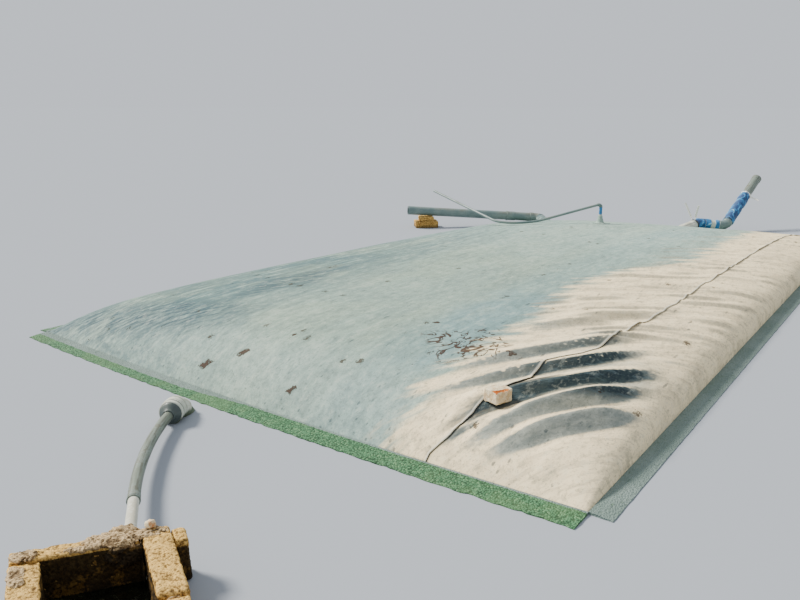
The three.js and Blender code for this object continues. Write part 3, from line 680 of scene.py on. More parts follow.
# Meshes
class Skin:
    """Grids of points joined into one mesh, with a map of metres and values at the points."""

    def __init__(self):
        self.points = []
        self.faces = []
        self.maps = []
        self.values = {}
        self.count = 0

    def grid(self, points, lanes=None, close_rows=False, close_columns=False, **values):
        """Quads over a grid of points. A closed side joins its last line to its first, and lanes
        then has one line more than the points. Returns the points' numbers."""
        rows, columns = points.shape[:2]
        numbers = self.count + np.arange(rows * columns).reshape(rows, columns)
        self.points.append(points.reshape(-1, 3))
        for key, value in values.items():
            self.values.setdefault(key, []).append((self.count, np.broadcast_to(value, (rows, columns))))
        self.count += rows * columns
        around = np.concatenate([numbers, numbers[:, :1]], 1) if close_columns else numbers
        around = np.concatenate([around, around[:1]], 0) if close_rows else around
        self.quads(around, lanes)
        return numbers

    def quads(self, numbers, lanes=None):
        """Quads between neighbours of an array of point numbers."""
        corner = (slice(None, -1), slice(1, None))
        order = [(0, 0), (1, 0), (1, 1), (0, 1)]
        faces = np.stack([numbers[corner[i], corner[j]] for i, j in order], -1).reshape(-1, 4)
        if lanes is None:
            lanes = np.zeros((*numbers.shape, 2))
        maps = np.stack([lanes[corner[i], corner[j]] for i, j in order], -2).reshape(-1, 4, 2)
        self.faces.append(faces)
        self.maps.append(maps)

    def rims(self, first, second, lanes=None):
        """Quads that join the four edges of two grids of point numbers."""
        for cut in ((0, slice(None)), (-1, slice(None)), (slice(None), 0), (slice(None), -1)):
            edge = None if lanes is None else np.stack([lanes[cut], lanes[cut]])
            self.quads(np.stack([first[cut], second[cut]]), edge)

    def capped(self, rings, lanes=None, **values):
        """A grid of closed rings with one flat face over the first and the last."""
        numbers = self.grid(rings, lanes, close_columns=True, **values)
        for ring in (numbers[0], numbers[-1]):
            self.faces.append(ring[None, :])
            self.maps.append(np.zeros((1, len(ring), 2)))

    def piece(self, name, finish, stands_for=(), sharp=None):
        """Makes the object, with its faces pointing out, and puts it on its body."""
        mesh = bpy.data.meshes.new(name)
        points = np.concatenate(self.points)
        corners = np.concatenate([faces.ravel() for faces in self.faces]).astype(np.int32)
        sizes = np.concatenate([np.full(len(faces), faces.shape[1]) for faces in self.faces])
        starts = np.concatenate([[0], np.cumsum(sizes)[:-1]]).astype(np.int32)
        mesh.vertices.add(len(points))
        mesh.vertices.foreach_set("co", points.astype(np.float32).ravel())
        mesh.loops.add(len(corners))
        mesh.loops.foreach_set("vertex_index", corners)
        mesh.polygons.add(len(sizes))
        mesh.polygons.foreach_set("loop_start", starts)
        mesh.update(calc_edges=True)
        uv = mesh.uv_layers.new(name="lanes")
        maps = np.concatenate([part.reshape(-1, 2) for part in self.maps])
        uv.data.foreach_set("uv", maps.astype(np.float32).ravel())
        for key, parts in self.values.items():
            values = np.zeros(len(points), np.float32)
            for start, part in parts:
                values[start:start + part.size] = part.ravel()
            mesh.attributes.new(key, "FLOAT", "POINT").data.foreach_set("value", values)
        shaped = bmesh.new()
        shaped.from_mesh(mesh)
        bmesh.ops.recalc_face_normals(shaped, faces=shaped.faces)
        shaped.to_mesh(mesh)
        shaped.free()
        mesh.shade_smooth()
        if sharp is not None:
            mesh.set_sharp_from_angle(angle=math.radians(sharp))
        mesh.materials.append(FINISHES[finish])
        made = place(name, mesh)
        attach(made, BODY)
        if stands_for:
            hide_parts(*stands_for)
        finish != "box_water"
        return made


# The cover
def length_at(x):
    """The bag's length at a share across it."""
    return LEFT_LENGTH + (RIGHT_LENGTH - LEFT_LENGTH) * x


def near_bow(x, y):
    """How far the near edge bows out, fading towards the far one."""
    return NEAR_BOW * 4 * x * (1 - x) * (1 - y)


def plan_point(x, y):
    """The plan: x and y from 0 to 1 across and along the bag. u is x widths plus the far left
    inset, v is y lengths less the bow of the near edge."""
    return x * BAG_WIDTH + FAR_LEFT_INSET * y * (1 - x), y * length_at(x) - near_bow(x, y)


def plan_share(u, v):
    """The x and y of a plan point, found by repeated substitution."""
    x = u / BAG_WIDTH
    y = 0.0
    for _ in range(30):
        y = (v + near_bow(x, y)) / length_at(x)
        x = (u - FAR_LEFT_INSET * y) / (BAG_WIDTH - FAR_LEFT_INSET * y)
    return x, y


def crown_height(x, y):
    """The smooth crown: (1 - |2x - 1|^2.3)^0.31 across, times a fast rise from the near edge and
    a long fall to the far one."""
    across = np.clip(1 - np.abs(2 * x - 1) ** ACROSS_POWER, 0, 1) ** ACROSS_ROUND
    near = 1 - np.exp(-np.clip(y, 0, 1) * length_at(x) / NEAR_RISE)
    far = np.clip(1 - np.clip(y, 0, 1) ** FAR_POWER, 0, 1) ** FAR_ROUND
    return CROWN * across * near * far


# Each pleat: its height, the reach of its gentle and steep side, and points on its crest in plan
PLEATS = [
    (0.018, 0.085, 0.045, ((3.03, 1.07), (3.14, 1.37), (3.26, 1.60), (3.40, 1.87))),
    (0.026, 0.080, 0.040, (
        (2.98, 0.34), (3.08, 0.52), (3.17, 0.73), (3.24, 0.92), (3.38, 1.14), (3.49, 1.42)
    )),
    (0.032, 0.070, 0.036, (
        (2.96, 0.18), (3.07, 0.28), (3.28, 0.54), (3.42, 0.80), (3.56, 1.10), (3.62, 1.25)
    )),
    (0.042, 0.075, 0.038, (
        (3.03, 0.07), (3.15, 0.16), (3.32, 0.33), (3.49, 0.51), (3.65, 0.88), (3.72, 0.99)
    )),
    (0.052, 0.070, 0.040, ((3.30, 0.00), (3.43, 0.17), (3.55, 0.33), (3.62, 0.47), (3.74, 0.73))),
    (0.046, 0.060, 0.040, (
        (3.41, 0.00), (3.50, 0.10), (3.62, 0.26), (3.71, 0.36), (3.80, 0.52), (3.86, 0.62)
    )),
    (0.010, 0.050, 0.040, ((3.05, 1.20), (3.14, 1.44), (3.27, 1.72), (3.45, 2.00))),
    (0.016, 0.034, 0.024, ((3.10, -0.01), (3.19, 0.06), (3.27, 0.16), (3.34, 0.25))),
    (0.014, 0.030, 0.022, ((3.21, 0.00), (3.28, 0.08), (3.35, 0.17), (3.40, 0.25))),
]
CREST_POINTS = 41
PLEAT_POWER = 1.6
# Height of the other wrinkles, and how far apart they lie
SWELL = 0.005
FINE_SWELL = 0.003
RIPPLE = 0.017
CREASE = 0.006
CREASE_EVERY = 0.21
PUCKER = 0.006
PUCKER_EVERY = 0.17
EDGE_FADE = 0.16
# The half brick: its size and turn, its lean as a share of the slope below it, how far it sinks
# below its seat, and where and how far round its foot it presses the folds flat
BRICK_SIZE = np.array([0.092, 0.106, 0.068])
BRICK_TURN = math.radians(-16)
BRICK_LEAN = -0.1
BRICK_DROP = -0.006
BRICK_FOOT = (3.414, 0.337)
BRICK_PRESS = 0.075
# How far the free edge of the lap wanders from its straight run: v, and the shift in u
LAP_WANDER = np.array([
    (-0.09, -0.060), (0.00, -0.062), (0.03, -0.046), (0.08, -0.022), (0.15, -0.012),
    (0.22, -0.022), (0.31, -0.050), (0.40, -0.056), (0.49, -0.040), (0.57, -0.066),
    (0.66, -0.108), (0.81, -0.145), (0.9, -0.117), (1.04, -0.055), (1.2, -0.05), (1.47, -0.04),
    (2.2, 0.0),
])
# The crest in front of the hollow that the brick lies in, where a dark shadow is painted, and the ridge
# behind it, in plan
HOLLOW_CREST = np.array([
    (3.24, 0.030), (3.294, 0.094), (3.361, 0.155), (3.417, 0.237), (3.468, 0.331), (3.520, 0.428),
    (3.611, 0.557),
])
HOLLOW_RIDGE = np.array([
    (3.24, 0.20), (3.300, 0.300), (3.334, 0.335), (3.401, 0.481), (3.535, 0.717),
])


def crest_line(points):
    """41 points along the cubic that fits the crest's points best, run on by a third."""
    points = np.array(points)
    points = np.concatenate([points, points[-1:] + (points[-1] - points[-3]) * 0.8])
    reached = np.cumsum(np.linalg.norm(np.diff(points, axis=0), axis=1))
    share = np.concatenate([[0], reached / reached[-1]])
    t = np.linspace(0, 1, CREST_POINTS)
    return np.stack([np.polyval(np.polyfit(share, points[:, k], 3), t) for k in range(2)], -1)


def pleat_relief(u, v):
    """Each pleat is a crest along a curve. Its section is exp(-(d / reach)^1.6), with a short
    reach on the steep side, where a shallow valley follows. It fades in and out along it."""
    total = np.zeros_like(u)
    for height, gentle, steep, points in PLEATS:
        line = crest_line(points)
        tangent = unit(np.gradient(line, axis=0))
        offset = np.stack([u, v], -1)[..., None, :] - line
        nearest = (offset ** 2).sum(-1).argmin(-1)
        gap = np.take_along_axis(offset, nearest[..., None, None], -2)[..., 0, :]
        way = tangent[nearest]
        side = gap[..., 0] * way[..., 1] - gap[..., 1] * way[..., 0]
        beyond = gap[..., 0] * way[..., 0] + gap[..., 1] * way[..., 1]
        distance = np.hypot(side, np.where(np.abs(beyond) > 0.02, beyond, 0))
        share = nearest / (CREST_POINTS - 1)
        reach = np.where(side > 0, steep, gentle)
        crest = np.exp(-((distance / reach) ** PLEAT_POWER))
        valley = -0.35 * np.exp(-(((side - 1.9 * steep) / (0.9 * steep)) ** 2)) * (np.abs(beyond) < 0.05)
        along = smoothstep(share, 0.0, 0.36) * (1 - smoothstep(share, 0.64, 1.0))
        total += height * along * (crest + valley)
    return total


def cover_relief(x, y, u, v):
    """What the wrinkles add to the crown: pleats, cross ripples by the right edge, long creases in
    the left band, puckers at the near hem and a slow swell. It dies out at the edges."""
    length = length_at(x)
    edge = np.minimum.reduce([y * length, (1 - x) * BAG_WIDTH, x * BAG_WIDTH, (1 - y) * length])
    swell = SWELL * flat_noise(u, v, 0.75, 1.1, 11) + FINE_SWELL * flat_noise(u, v, 0.28, 0.40, 12)
    lean = 1.25 - 0.25 * smoothstep(v, 1.5, 3.2)
    phase = v - lean * (u - 3.2) + 0.05 * flat_noise(u, v, 0.3, 0.5, 13)
    ripple = smoothstep(flat_noise(u + 0.5 * v, phase, 0.42, 0.085, 14), -0.45, 0.75)
    right_zone = smoothstep(u, 2.80, 3.05) * smoothstep(v, 1.0, 1.6) * (1 - 0.6 * smoothstep(v, 3.2, 4.4))
    ripples = RIPPLE * ripple * right_zone
    drift = u + 0.05 * flat_noise(u, v, 0.9, 1.6, 15) + 0.04 * np.sin(v * 0.9)
    crease = np.abs(np.sin(np.pi * drift / CREASE_EVERY)) ** 6
    left_zone = smoothstep(u, 0.12, 0.35) * (1 - smoothstep(u, 0.85, 1.25))
    patchy = smoothstep(flat_noise(u, v, 0.5, 1.3, 16), -0.1, 0.6)
    creases = -CREASE * crease * left_zone * patchy
    drift = u + 0.04 * flat_noise(u, v, 0.2, 0.4, 17)
    pucker = 0.5 + 0.5 * np.sin(2 * np.pi * drift / PUCKER_EVERY)
    near_zone = np.exp(-v / 0.25) * smoothstep(flat_noise(u, v, 0.6, 3.0, 18), -0.5, 0.5)
    puckers = PUCKER * pucker * near_zone
    pressed = np.exp(-((u - BRICK_FOOT[0]) ** 2 + (v - BRICK_FOOT[1]) ** 2) / BRICK_PRESS ** 2)
    relief = pleat_relief(u, v) * (1 - 0.8 * pressed) + swell + ripples + creases + puckers
    return relief * smoothstep(edge, 0.0, EDGE_FADE)


def shaded_hollow_by_brick(u, v):
    """1 in the hollow between the lap's free edge, the ridge and the crest, where a dark shadow under the
    brick is painted, and 0 elsewhere.
    """
    before = smoothstep(v - np.interp(u, *HOLLOW_CREST.T), 0.004, 0.034)
    behind = 1 - smoothstep(v - np.interp(u, *HOLLOW_RIDGE.T), -0.03, 0.02)
    return before * behind * smoothstep(u, 3.24, 3.28) * (1 - smoothstep(u, 3.50, 3.62))


def lap_edge(y):
    """The share across at which the free edge of the lap lies."""
    seam = SEAM_START + (SEAM_END - SEAM_START) * smoothstep(y, 0, SEAM_SHIFT_END)
    v = y * length_at(seam) - 0.03
    return seam + (LAP + np.interp(v, *LAP_WANDER.T)) / BAG_WIDTH


def cover_top(u, v):
    """The height of the cover's top at a place in plan, without the lap."""
    x, y = plan_share(u, v)
    u, v = np.atleast_1d(u).astype(float), np.atleast_1d(v).astype(float)
    return float((crown_height(x, y) + cover_relief(x, y, u, v) + SHEET)[0])


def spaced(*stops):
    """Values with steps of their own between stops, given as start and count in turn, then the end."""
    parts = [np.linspace(a, b, n, endpoint=False) for (a, n), (b, _) in zip(stops, stops[1:])]
    return np.concatenate([*parts, [stops[-1][0]]])


ROWS = spaced((0, 12), (0.012, 24), (0.06, 100), (0.26, 90), (0.60, 44), (0.90, 24), (1, 0))


def shell(name, x, y, lift, finish, stands_for, calm=0.0, **values):
    """A sheet as a closed body: its top is the cover's surface plus lift, its underside lies one
    thickness lower, and the four edges join them. lee is how steeply the folds fall towards the
    right and the near side, away from the light, and carries their painted shade; valley is how deep
    a place lies between them, where shade is painted together with damp; and folded is 0 to the
    right of the last fold. calm takes the painted shade of the folds away."""
    u, v = plan_point(x, y)
    relief = cover_relief(x, y, u, v)
    step = 0.006
    away = []
    for du, dv in ((step, 0), (0, step)):
        shares = plan_share(u + du, v + dv)
        away.append((cover_relief(*shares, u + du, v + dv) - relief) / step)
    # lee: how steeply the relief falls away from the light, which sets the painted shade
    lee = -(0.8 * away[0] - 0.6 * away[1]) * (1 - calm)
    folded = smoothstep(v - 1.5 * (u - 3.33), 0.00, 0.08)
    near = smoothstep(u, 3.34, 3.66) * (1 - smoothstep(v, 0.9, 1.5)) * (1 - smoothstep(u, 3.80, 3.98))
    valley = near * folded * (1 - smoothstep(relief, 0.004, 0.022)) * (1 - calm)
    # hollow: the painted shadow under the brick
    hollow = shaded_hollow_by_brick(u, v) * (1 - calm)
    top = crown_height(x, y) + relief + SHEET + lift
    lanes = np.stack([u, v], -1)
    skin = Skin()
    above = np.stack([u, v, top], -1) + ORIGIN
    below = np.stack([u, v, np.maximum(top - SHEET_THICK, 0.0005)], -1) + ORIGIN
    values.update(lee=lee, valley=valley, folded=folded, hollow=hollow)
    first = skin.grid(above, lanes, **values)
    second = skin.grid(below, lanes, **values)
    skin.rims(first, second, lanes)
    made = skin.piece(name, finish, stands_for=stands_for)


def add_cover():
    """The main sheet, which laps over the side sheet, whose edge lies under it."""
    s = spaced((0, 8), (0.02, 58), (0.64, 92), (0.985, 12), (1, 0))[:, None]
    y = np.broadcast_to(ROWS, (len(s), len(ROWS)))
    edge = lap_edge(y)
    x = s * edge
    u, v = plan_point(x, y)
    to_edge = (edge - x) * BAG_WIDTH
    on_lap = 1 - smoothstep(to_edge, 2 * LAP, 5 * LAP)
    free = 1 - smoothstep(to_edge, 0, LAP)
    wave = smoothstep(flat_noise(u * 0, v, 1.0, 0.16, 21), -0.4, 0.8)
    lift = LAP_LIFT * on_lap + 0.006 * free * wave * smoothstep(v, 0.0, 0.3)
    # The free edge of the main sheet is painted as a highlight
    lip = 1 - smoothstep(to_edge, 0.005, 0.012)
    # calm: where the painted shade of the folds is taken away, beside the lap's edge near the hem
    calm = 0.9 * np.exp(-(((u - 3.19 - 0.28 * v) / 0.075) ** 2)) * (1 - smoothstep(v, 0.32, 0.42))
    shell(
        "gas_cover_main", x, y, lift, "membrane", ["main_cover_sheet", "lap_seam_strip"],
        calm=calm, lip=lip, under=0 * lip,
    )
    s = spaced((0, 26), (0.2, 44), (1, 0))[:, None]
    y = np.broadcast_to(ROWS, (len(s), len(ROWS)))
    edge = lap_edge(y)
    start = edge - 2 * LAP / BAG_WIDTH
    x = start + s * (1 - start)
    past = (x - edge) * BAG_WIDTH
    # A painted shadow on the side sheet beneath the lap's free edge
    under = 1 - smoothstep(past, 0.003, 0.010)
    shell("gas_cover_right", x, y, 0.0, "membrane_sunlit", ["right_side_sheet"], lip=0 * under, under=under)


def hem(name, inner, outer, crusty, seed, bare=0.1):
    """A flat welded edge between two lines in plan: a closed body with a lumpy top that thins to
    its outer edge. The lumps are noise of 12 and 45 mm, and the outer edge wanders with noise of
    30 mm."""
    share = np.linspace(0, 1, 15)[:, None]
    line = inner[None] * (1 - share[..., None]) + outer[None] * share[..., None]
    rough = 0.006 * lattice_noise(np.stack([*np.moveaxis(line, -1, 0), 0 * line[..., 0]], -1), 0.030, seed)
    line = line + unit(outer - inner) * (rough * share ** 3 * crusty)[..., None]
    flat = np.concatenate([line, np.zeros_like(line[..., :1])], -1)
    lumps = 0.0016 * lattice_noise(flat, 0.012, seed + 1)
    lumps = lumps + 0.0022 * lattice_noise(flat, 0.045, seed + 2)
    rise = HEM_THICK * (1 - 0.65 * share ** 2) + crusty * lumps * np.minimum(1, 6 * share)
    crust = crusty * smoothstep(share + 0 * rise, bare, bare + 0.15)
    skin = Skin()
    lift = np.concatenate([line, np.maximum(rise, 0.003)[..., None]], -1) + ORIGIN
    first = skin.grid(lift, crust=crust)
    second = skin.grid(flat + ORIGIN, crust=crust)
    skin.rims(first, second)
    skin.piece(name, "wet_hem", stands_for=[name.replace("welded_", "")], sharp=50)


def add_hems():
    """Four welded edges; the near one bows and carries the most crust."""
    x = np.linspace(0, 1, 420)
    u, v = plan_point(x, 0 * x)
    outer = -NEAR_HEM_REACH - NEAR_HEM_BOW * 4 * x * (1 - x)
    bare = 0.04 + 0.34 * (1 - smoothstep(x, 0.40, 0.56))
    hem("welded_near_hem", np.stack([u, v], -1), np.stack([u, outer], -1), 1.0, 31, bare[None])
    far_left = np.array(plan_point(0.0, 1.0))
    far_right = np.array(plan_point(1.0, 1.0))
    t = np.linspace(0, 1, 260)[:, None]
    far = far_left + t * (far_right - far_left)
    hem("welded_far_hem", far, far + (0, HEM_WIDTH), 0.25, 41)
    left = t * far_left
    hem("welded_left_hem", left, left - (HEM_WIDTH, 0), 0.5, 51)
    slope = (far_right[1] - far_left[1]) / (far_right[0] - far_left[0])
    right = np.array([BAG_WIDTH, 0]) + t * (far_right - (BAG_WIDTH, 0))
    out = np.array([BAG_WIDTH + HEM_WIDTH, 0]) + t * (0, far_right[1] + slope * HEM_WIDTH)
    hem("welded_right_hem", right, out, 0.2, 61)


# Pieces turned about a line
END = math.inf


def bend(*corners, count=40):
    """A Bezier curve through the first and last point, with the others as its corners: each round
    puts points at t between neighbours, until one is left. Two points make a straight line."""
    t = np.linspace(0, 1, count)[:, None]
    while len(corners) > 1:
        corners = [(1 - t) * a + t * b for a, b in zip(corners, corners[1:])]
    return corners[0]


def path_length(path):
    """The length of a path in metres."""
    return float(np.linalg.norm(np.diff(path, axis=0), axis=1).sum())


def mirrored(*rises):
    """The same rises from both ends."""
    return [*rises, *[(-at if at else END, rise) for at, rise in rises[::-1]]]


CHAMFERS = mirrored((0, -0.0015), (0.0015, 0))
FINE_CHAMFERS = mirrored((0, -0.001), (0.001, 0))
SLEEVE = mirrored((0, 0))


def dents(size, depth, seed):
    """A slight unevenness of a wall: lattice noise of that cell."""
    return lambda points, *others: depth * lattice_noise(points, size, seed)


def wall_stations(rises, length, radius, bore, spacing):
    """Points of a wall's section, as distance and radius, at most a spacing apart along it. Each
    rise is a distance and what the wall stands over the radius there. Distances below 0 count back
    from the far end, which is END. The bore closes the wall, unless the rises close it themselves."""
    loop = []
    for at, rise in rises:
        at = length if at == END else at if at >= 0 else length + at
        loop.append((at, radius + rise))
    if bore is not None:
        loop = [(loop[0][0], bore), *loop, (loop[-1][0], bore)]
    loop = np.array(loop)
    stations = []
    for a, b in zip(loop, np.roll(loop, -1, axis=0)):
        steps = max(1, math.ceil(abs(b[0] - a[0]) / spacing))
        stations.append(a + np.linspace(0, 1, steps, endpoint=False)[:, None] * (b - a))
    return np.concatenate(stations)


def pipe_piece(
    name, nodes, path, finish, radius, bore, rises, sides=56, spacing=0.012, about=(0, 0, 1),
    wobble=None, soil=0.0
):
    """A wall carried round a path: the ring at a distance lies square to the path there.
    wobble(points, distance, angle, radius) is added to the radius."""
    reached = np.concatenate([[0], np.cumsum(np.linalg.norm(np.diff(path, axis=0), axis=1))])
    stations = wall_stations(rises, path_length(path), radius, bore, spacing)
    distance = stations[:, 0]
    slopes = np.gradient(path, reached, axis=0)
    centre, along = [
        np.stack([np.interp(distance, reached, line[:, k]) for k in range(3)], -1) for line in (path, slopes)
    ]
    along = unit(along)
    over = np.where(distance > reached[-1], distance - reached[-1], np.minimum(distance, 0))
    centre = centre + along * over[:, None]
    side = unit(np.cross(along, about))
    up = np.cross(side, along)
    turns = np.arange(sides + 1) * 2 * np.pi / sides
    angle = turns[:-1]
    spoke = np.cos(angle)[None, :, None] * side[:, None] + np.sin(angle)[None, :, None] * up[:, None]
    out = np.broadcast_to(stations[:, 1:], (len(stations), sides))
    shift = 0 * out
    if wobble is not None:
        shift = wobble(centre[:, None] + spoke * out[..., None], distance[:, None], angle[None], out)
    points = centre[:, None] + spoke * (out + shift)[..., None]
    rows = np.concatenate([stations, stations[:1]])
    lanes = np.stack(np.broadcast_arrays(turns[None] * rows[:, 1:].max(), rows[:, :1]), -1)
    skin = Skin()
    skin.grid(points, lanes, close_rows=True, close_columns=True, relief=shift, soil=soil + 0 * shift)
    return skin.piece(name, finish, stands_for=nodes, sharp=32)


def wrapped(path, over, bore, seed, name, nodes):
    """Loose cloth tied round a pipe: sharp slanting creases, which are ridges 1 - |noise| of two
    sizes, over soft bulges."""
    outer = BIG_PIPE + over
    inner = BIG_PIPE + bore

    def folds(points, distance, angle, radius):
        on_top = (radius > (outer + inner) / 2).astype(float)
        slant = distance - 0.055 * np.sin(angle + 0.6)
        lanes = np.stack([slant, 0.9 * np.cos(angle) + 0 * slant, 0.9 * np.sin(angle) + 0 * slant], -1)
        wide = 1 - np.abs(lattice_noise(lanes / (0.055, 1, 1), 1.0, seed))
        narrow = 1 - np.abs(lattice_noise(lanes / (0.020, 0.6, 0.6), 1.0, seed + 2))
        creases = 0.0090 * wide ** 5 + 0.0035 * narrow ** 4
        bulge = 0.0035 * lattice_noise(points, 0.06, seed + 1)
        return on_top * np.maximum(creases + bulge - 0.0035, -0.003)

    pipe_piece(name, nodes, path, "blue_wrap", outer, inner, SLEEVE, 80, 0.0035, wobble=folds)


# The gas line
RISER_AT = (1.850, 5.400)
RISER_FOOT = local(*RISER_AT, cover_top(*RISER_AT))
RISER_TOP = RISER_FOOT + (0, 0, 0.180)
ELBOW_TOP = RISER_TOP + (0, 0, 0.035)
GAS_TOUCH = local(1.310, 4.820, cover_top(1.310, 4.820) + GAS_PIPE + 0.006)
GAS_REST = local(1.080, 4.570, cover_top(1.080, 4.570) + GAS_PIPE + 0.006)
GAS_END = local(-0.150, 5.060, 0.530)
GAS_START = towards(ELBOW_TOP, GAS_TOUCH, 0.040)
GAS_BEND_START = towards(GAS_TOUCH, GAS_START, 0.120)
GAS_BEND_END = towards(GAS_REST, GAS_END, 0.180)
# Rings of the boot from its neck over its skirt and back: radius, rise and share of the ground
BOOT_NECK = GAS_PIPE + 0.0006
BOOT_RINGS = np.array([
    (BOOT_NECK, 0.060, 0), (BOOT_NECK, 0.084, 0), (0.0235, 0.084, 0), (0.0255, 0.080, 0),
    (0.0262, 0.074, 0), (0.0240, 0.070, 0), (0.0262, 0.066, 0), (0.0280, 0.058, 0),
    (0.0330, 0.048, 0.1), (0.0360, 0.036, 0.3), (0.0400, 0.020, 0.6), (0.0480, 0.009, 0.9),
    (0.0560, 0.0055, 1), (0.0760, 0.0045, 1), (0.0900, 0.0048, 1), (0.0960, 0.0068, 1),
    (0.1020, 0.0072, 1), (0.1070, 0.0052, 1), (0.1100, 0.0030, 1), (0.1100, -0.002, 1),
    (0.050, -0.002, 1), (BOOT_NECK, 0.002, 1),
])


def add_gas_boot():
    """The boot welded on the crown: a skirt that follows the cover, a weld bead, a cone and a neck
    with a cord groove. Each ring's height is a share of the cover's height below it plus a rise."""
    angle = np.arange(64) * 2 * np.pi / 64
    radius, rise, share = BOOT_RINGS.T[..., None]
    wrinkle = 0.0012 * np.sin(9 * angle + 0.7) * smoothstep(radius, 0.03, 0.05)
    radius = radius * np.ones_like(angle) + 0.0025 * np.sin(3 * angle + 1) * smoothstep(radius, 0.08, 0.11)
    u = RISER_AT[0] + radius * np.cos(angle)
    v = RISER_AT[1] + radius * np.sin(angle)
    x, y = plan_share(u, v)
    ground = crown_height(x, y) + cover_relief(x, y, u, v) + SHEET
    base = RISER_FOOT[2]
    points = np.stack([u, v, base + rise + share * (ground - base) + wrinkle], -1) + ORIGIN
    skin = Skin()
    lanes = np.pad(np.stack([u, v], -1), ((0, 1), (0, 1), (0, 0)), "wrap")
    skin.grid(points, lanes, close_rows=True, close_columns=True)
    skin.piece("gas_boot_skirt", "membrane", stands_for=["gas_boot"], sharp=60)


def tape_folds(points, distance, angle, radius):
    """Turns of tape: each one 17 mm long and thinner towards its end, with noise of 10 mm."""
    phase = (distance / 0.017 - angle / (2 * np.pi)) % 1
    turn = 0.0022 * (1 - phase) * smoothstep(phase, 0, 0.06)
    return (radius > 0.0150) * (turn + 0.0012 * lattice_noise(points, 0.010, 5))


def gas_pipe(name, node, path, rises=FINE_CHAMFERS, **more):
    """A piece of the thin gas pipe."""
    pipe_piece(name, [node], path, "grey_pvc", GAS_PIPE, GAS_BORE, rises, 28, **more)


def add_gas_line():
    """Riser, socket, wrap, elbow and the thin pipe that comes down to the cover and leaves."""
    add_gas_boot()
    across = (1, 0, 0)
    socket_low, socket_top = [RISER_FOOT + (0, 0, z) for z in (0.0545, 0.100)]
    riser = bend(RISER_FOOT + (0, 0, 0.030), RISER_TOP)
    gas_pipe("gas_riser_tube", "gas_riser", riser, about=across)
    socket = [
        (0, 0.0185), (0.001, 0.0195), (0.010, 0.0195), (0.011, 0.0182), (0.034, 0.0182),
        (0.035, 0.0195), (0.044, 0.0195), (0.0455, 0.0180),
    ]
    inner = GAS_PIPE + 0.0003
    pipe_piece("gas_riser_coupling", ["gas_riser_socket"], bend(socket_low, socket_top), "pale_pvc",
               0.0, inner, socket, 28, about=across)
    pipe_piece("gas_riser_tape", ["gas_riser_wrap"], bend(socket_top, RISER_TOP), "blue_wrap",
               0.0165, inner, SLEEVE, 48, 0.0016, across, tape_folds)
    turn = bend(RISER_TOP, ELBOW_TOP, GAS_START)
    cups = mirrored((0, 0.004), (0.001, 0.005), (0.016, 0.005), (0.018, 0.0025))
    gas_pipe("gas_elbow_fitting", "gas_elbow", turn, cups, spacing=0.005, about=across)
    gas_pipe("gas_pipe_down", "gas_pipe", bend(GAS_START, GAS_BEND_START), spacing=0.06)
    lying = bend(GAS_BEND_START, GAS_TOUCH, GAS_REST, GAS_BEND_END, count=60)
    gas_pipe("gas_pipe_lying", "gas_pipe_bend", lying)
    gas_pipe("gas_pipe_away", "gas_pipe_end", bend(GAS_BEND_END, GAS_END), spacing=0.06)


# The feed pipe and the inlet
FEED_OUTER = local(-0.700, 5.270, 0.225)
FEED_INNER = local(0.470, 6.420, 0.105)
FEED_CORNER = towards(FEED_INNER, FEED_OUTER, -0.130)
FEED_ENTRY = local(1.050, 6.000, 0.040)
FEED_TURNED = towards(FEED_CORNER, FEED_ENTRY, 0.070)
INLET_ENTRY = local(2.300, 6.500, 0.030)
INLET_CORNER = local(2.457, 7.107, 0.120)
INLET_BEND = local(2.736, 7.292, 0.085)
INLET_TOP = local(2.890, 8.050, 0.630)
# Reach of the inlet's two elbows, the riser's bare top, and the pier's place along the feed pipe
FIRST_BEND = 0.075
SECOND_BEND = 0.080
BARE_TOP = 0.330
PIER_AT = 0.240
FEED_SOCKET = [
    (0, -0.002), (0.002, 0), (1.320, 0), (1.320, 0.006), (1.324, 0.0075), (1.340, 0.0075),
    (1.344, 0.0045), (1.435, 0.0045), (1.450, 0), (END, 0),
]
LOW_PIPE_BEAD = [
    (0, -0.001), (0.001, 0), (-0.060, 0), (-0.056, 0.0032), (-0.050, 0.004), (-0.044, 0.0032),
    (-0.040, 0), (END, 0),
]
RISER_COLLAR = [(0, 0), (-0.050, 0), (-0.046, 0.004), (-0.004, 0.004), (END, 0.002)]


def elbow_cups(reach):
    """A fitting: a body a little over the pipe, with a thicker cup and a rounded lip at both ends."""
    return mirrored(
        (0, 0.0042), (0.002, 0.0070), (0.007, 0.0070), (0.009, 0.0052), (reach, 0.0052),
        (reach + 0.006, 0.0022),
    )


def big_pipe(name, node, path, finish, rises, **more):
    """A piece of 110 mm pipe."""
    return pipe_piece(name, [node], path, finish, BIG_PIPE, BIG_BORE, rises, **more)


def boot_piece(name, node, start, end, finish, seed):
    """A sheet sleeve over a pipe end: loose folds along it, gathered at the strap, that spread
    towards the cover, where it is cut by it."""
    path = bend(start, end)
    length = path_length(path)

    def folds(points, distance, angle, radius):
        share = distance / length
        pleats = 0.0035 * np.sin(11 * angle + 2.2 * np.sin(2 * angle) + 1.5 * share) * (0.25 + share)
        uneven = 0.004 * lattice_noise(points, 0.05, seed)
        return (radius > BIG_PIPE) * (pleats + uneven + 0.010 * share ** 2)

    outer = BIG_PIPE + 0.004
    made = pipe_piece(name, [node], path, finish, outer, BIG_BORE, SLEEVE, 88, 0.008, wobble=folds)
    for vertex in made.data.vertices:
        vertex.co.z = max(vertex.co.z, 0.002)
    made.data.update()


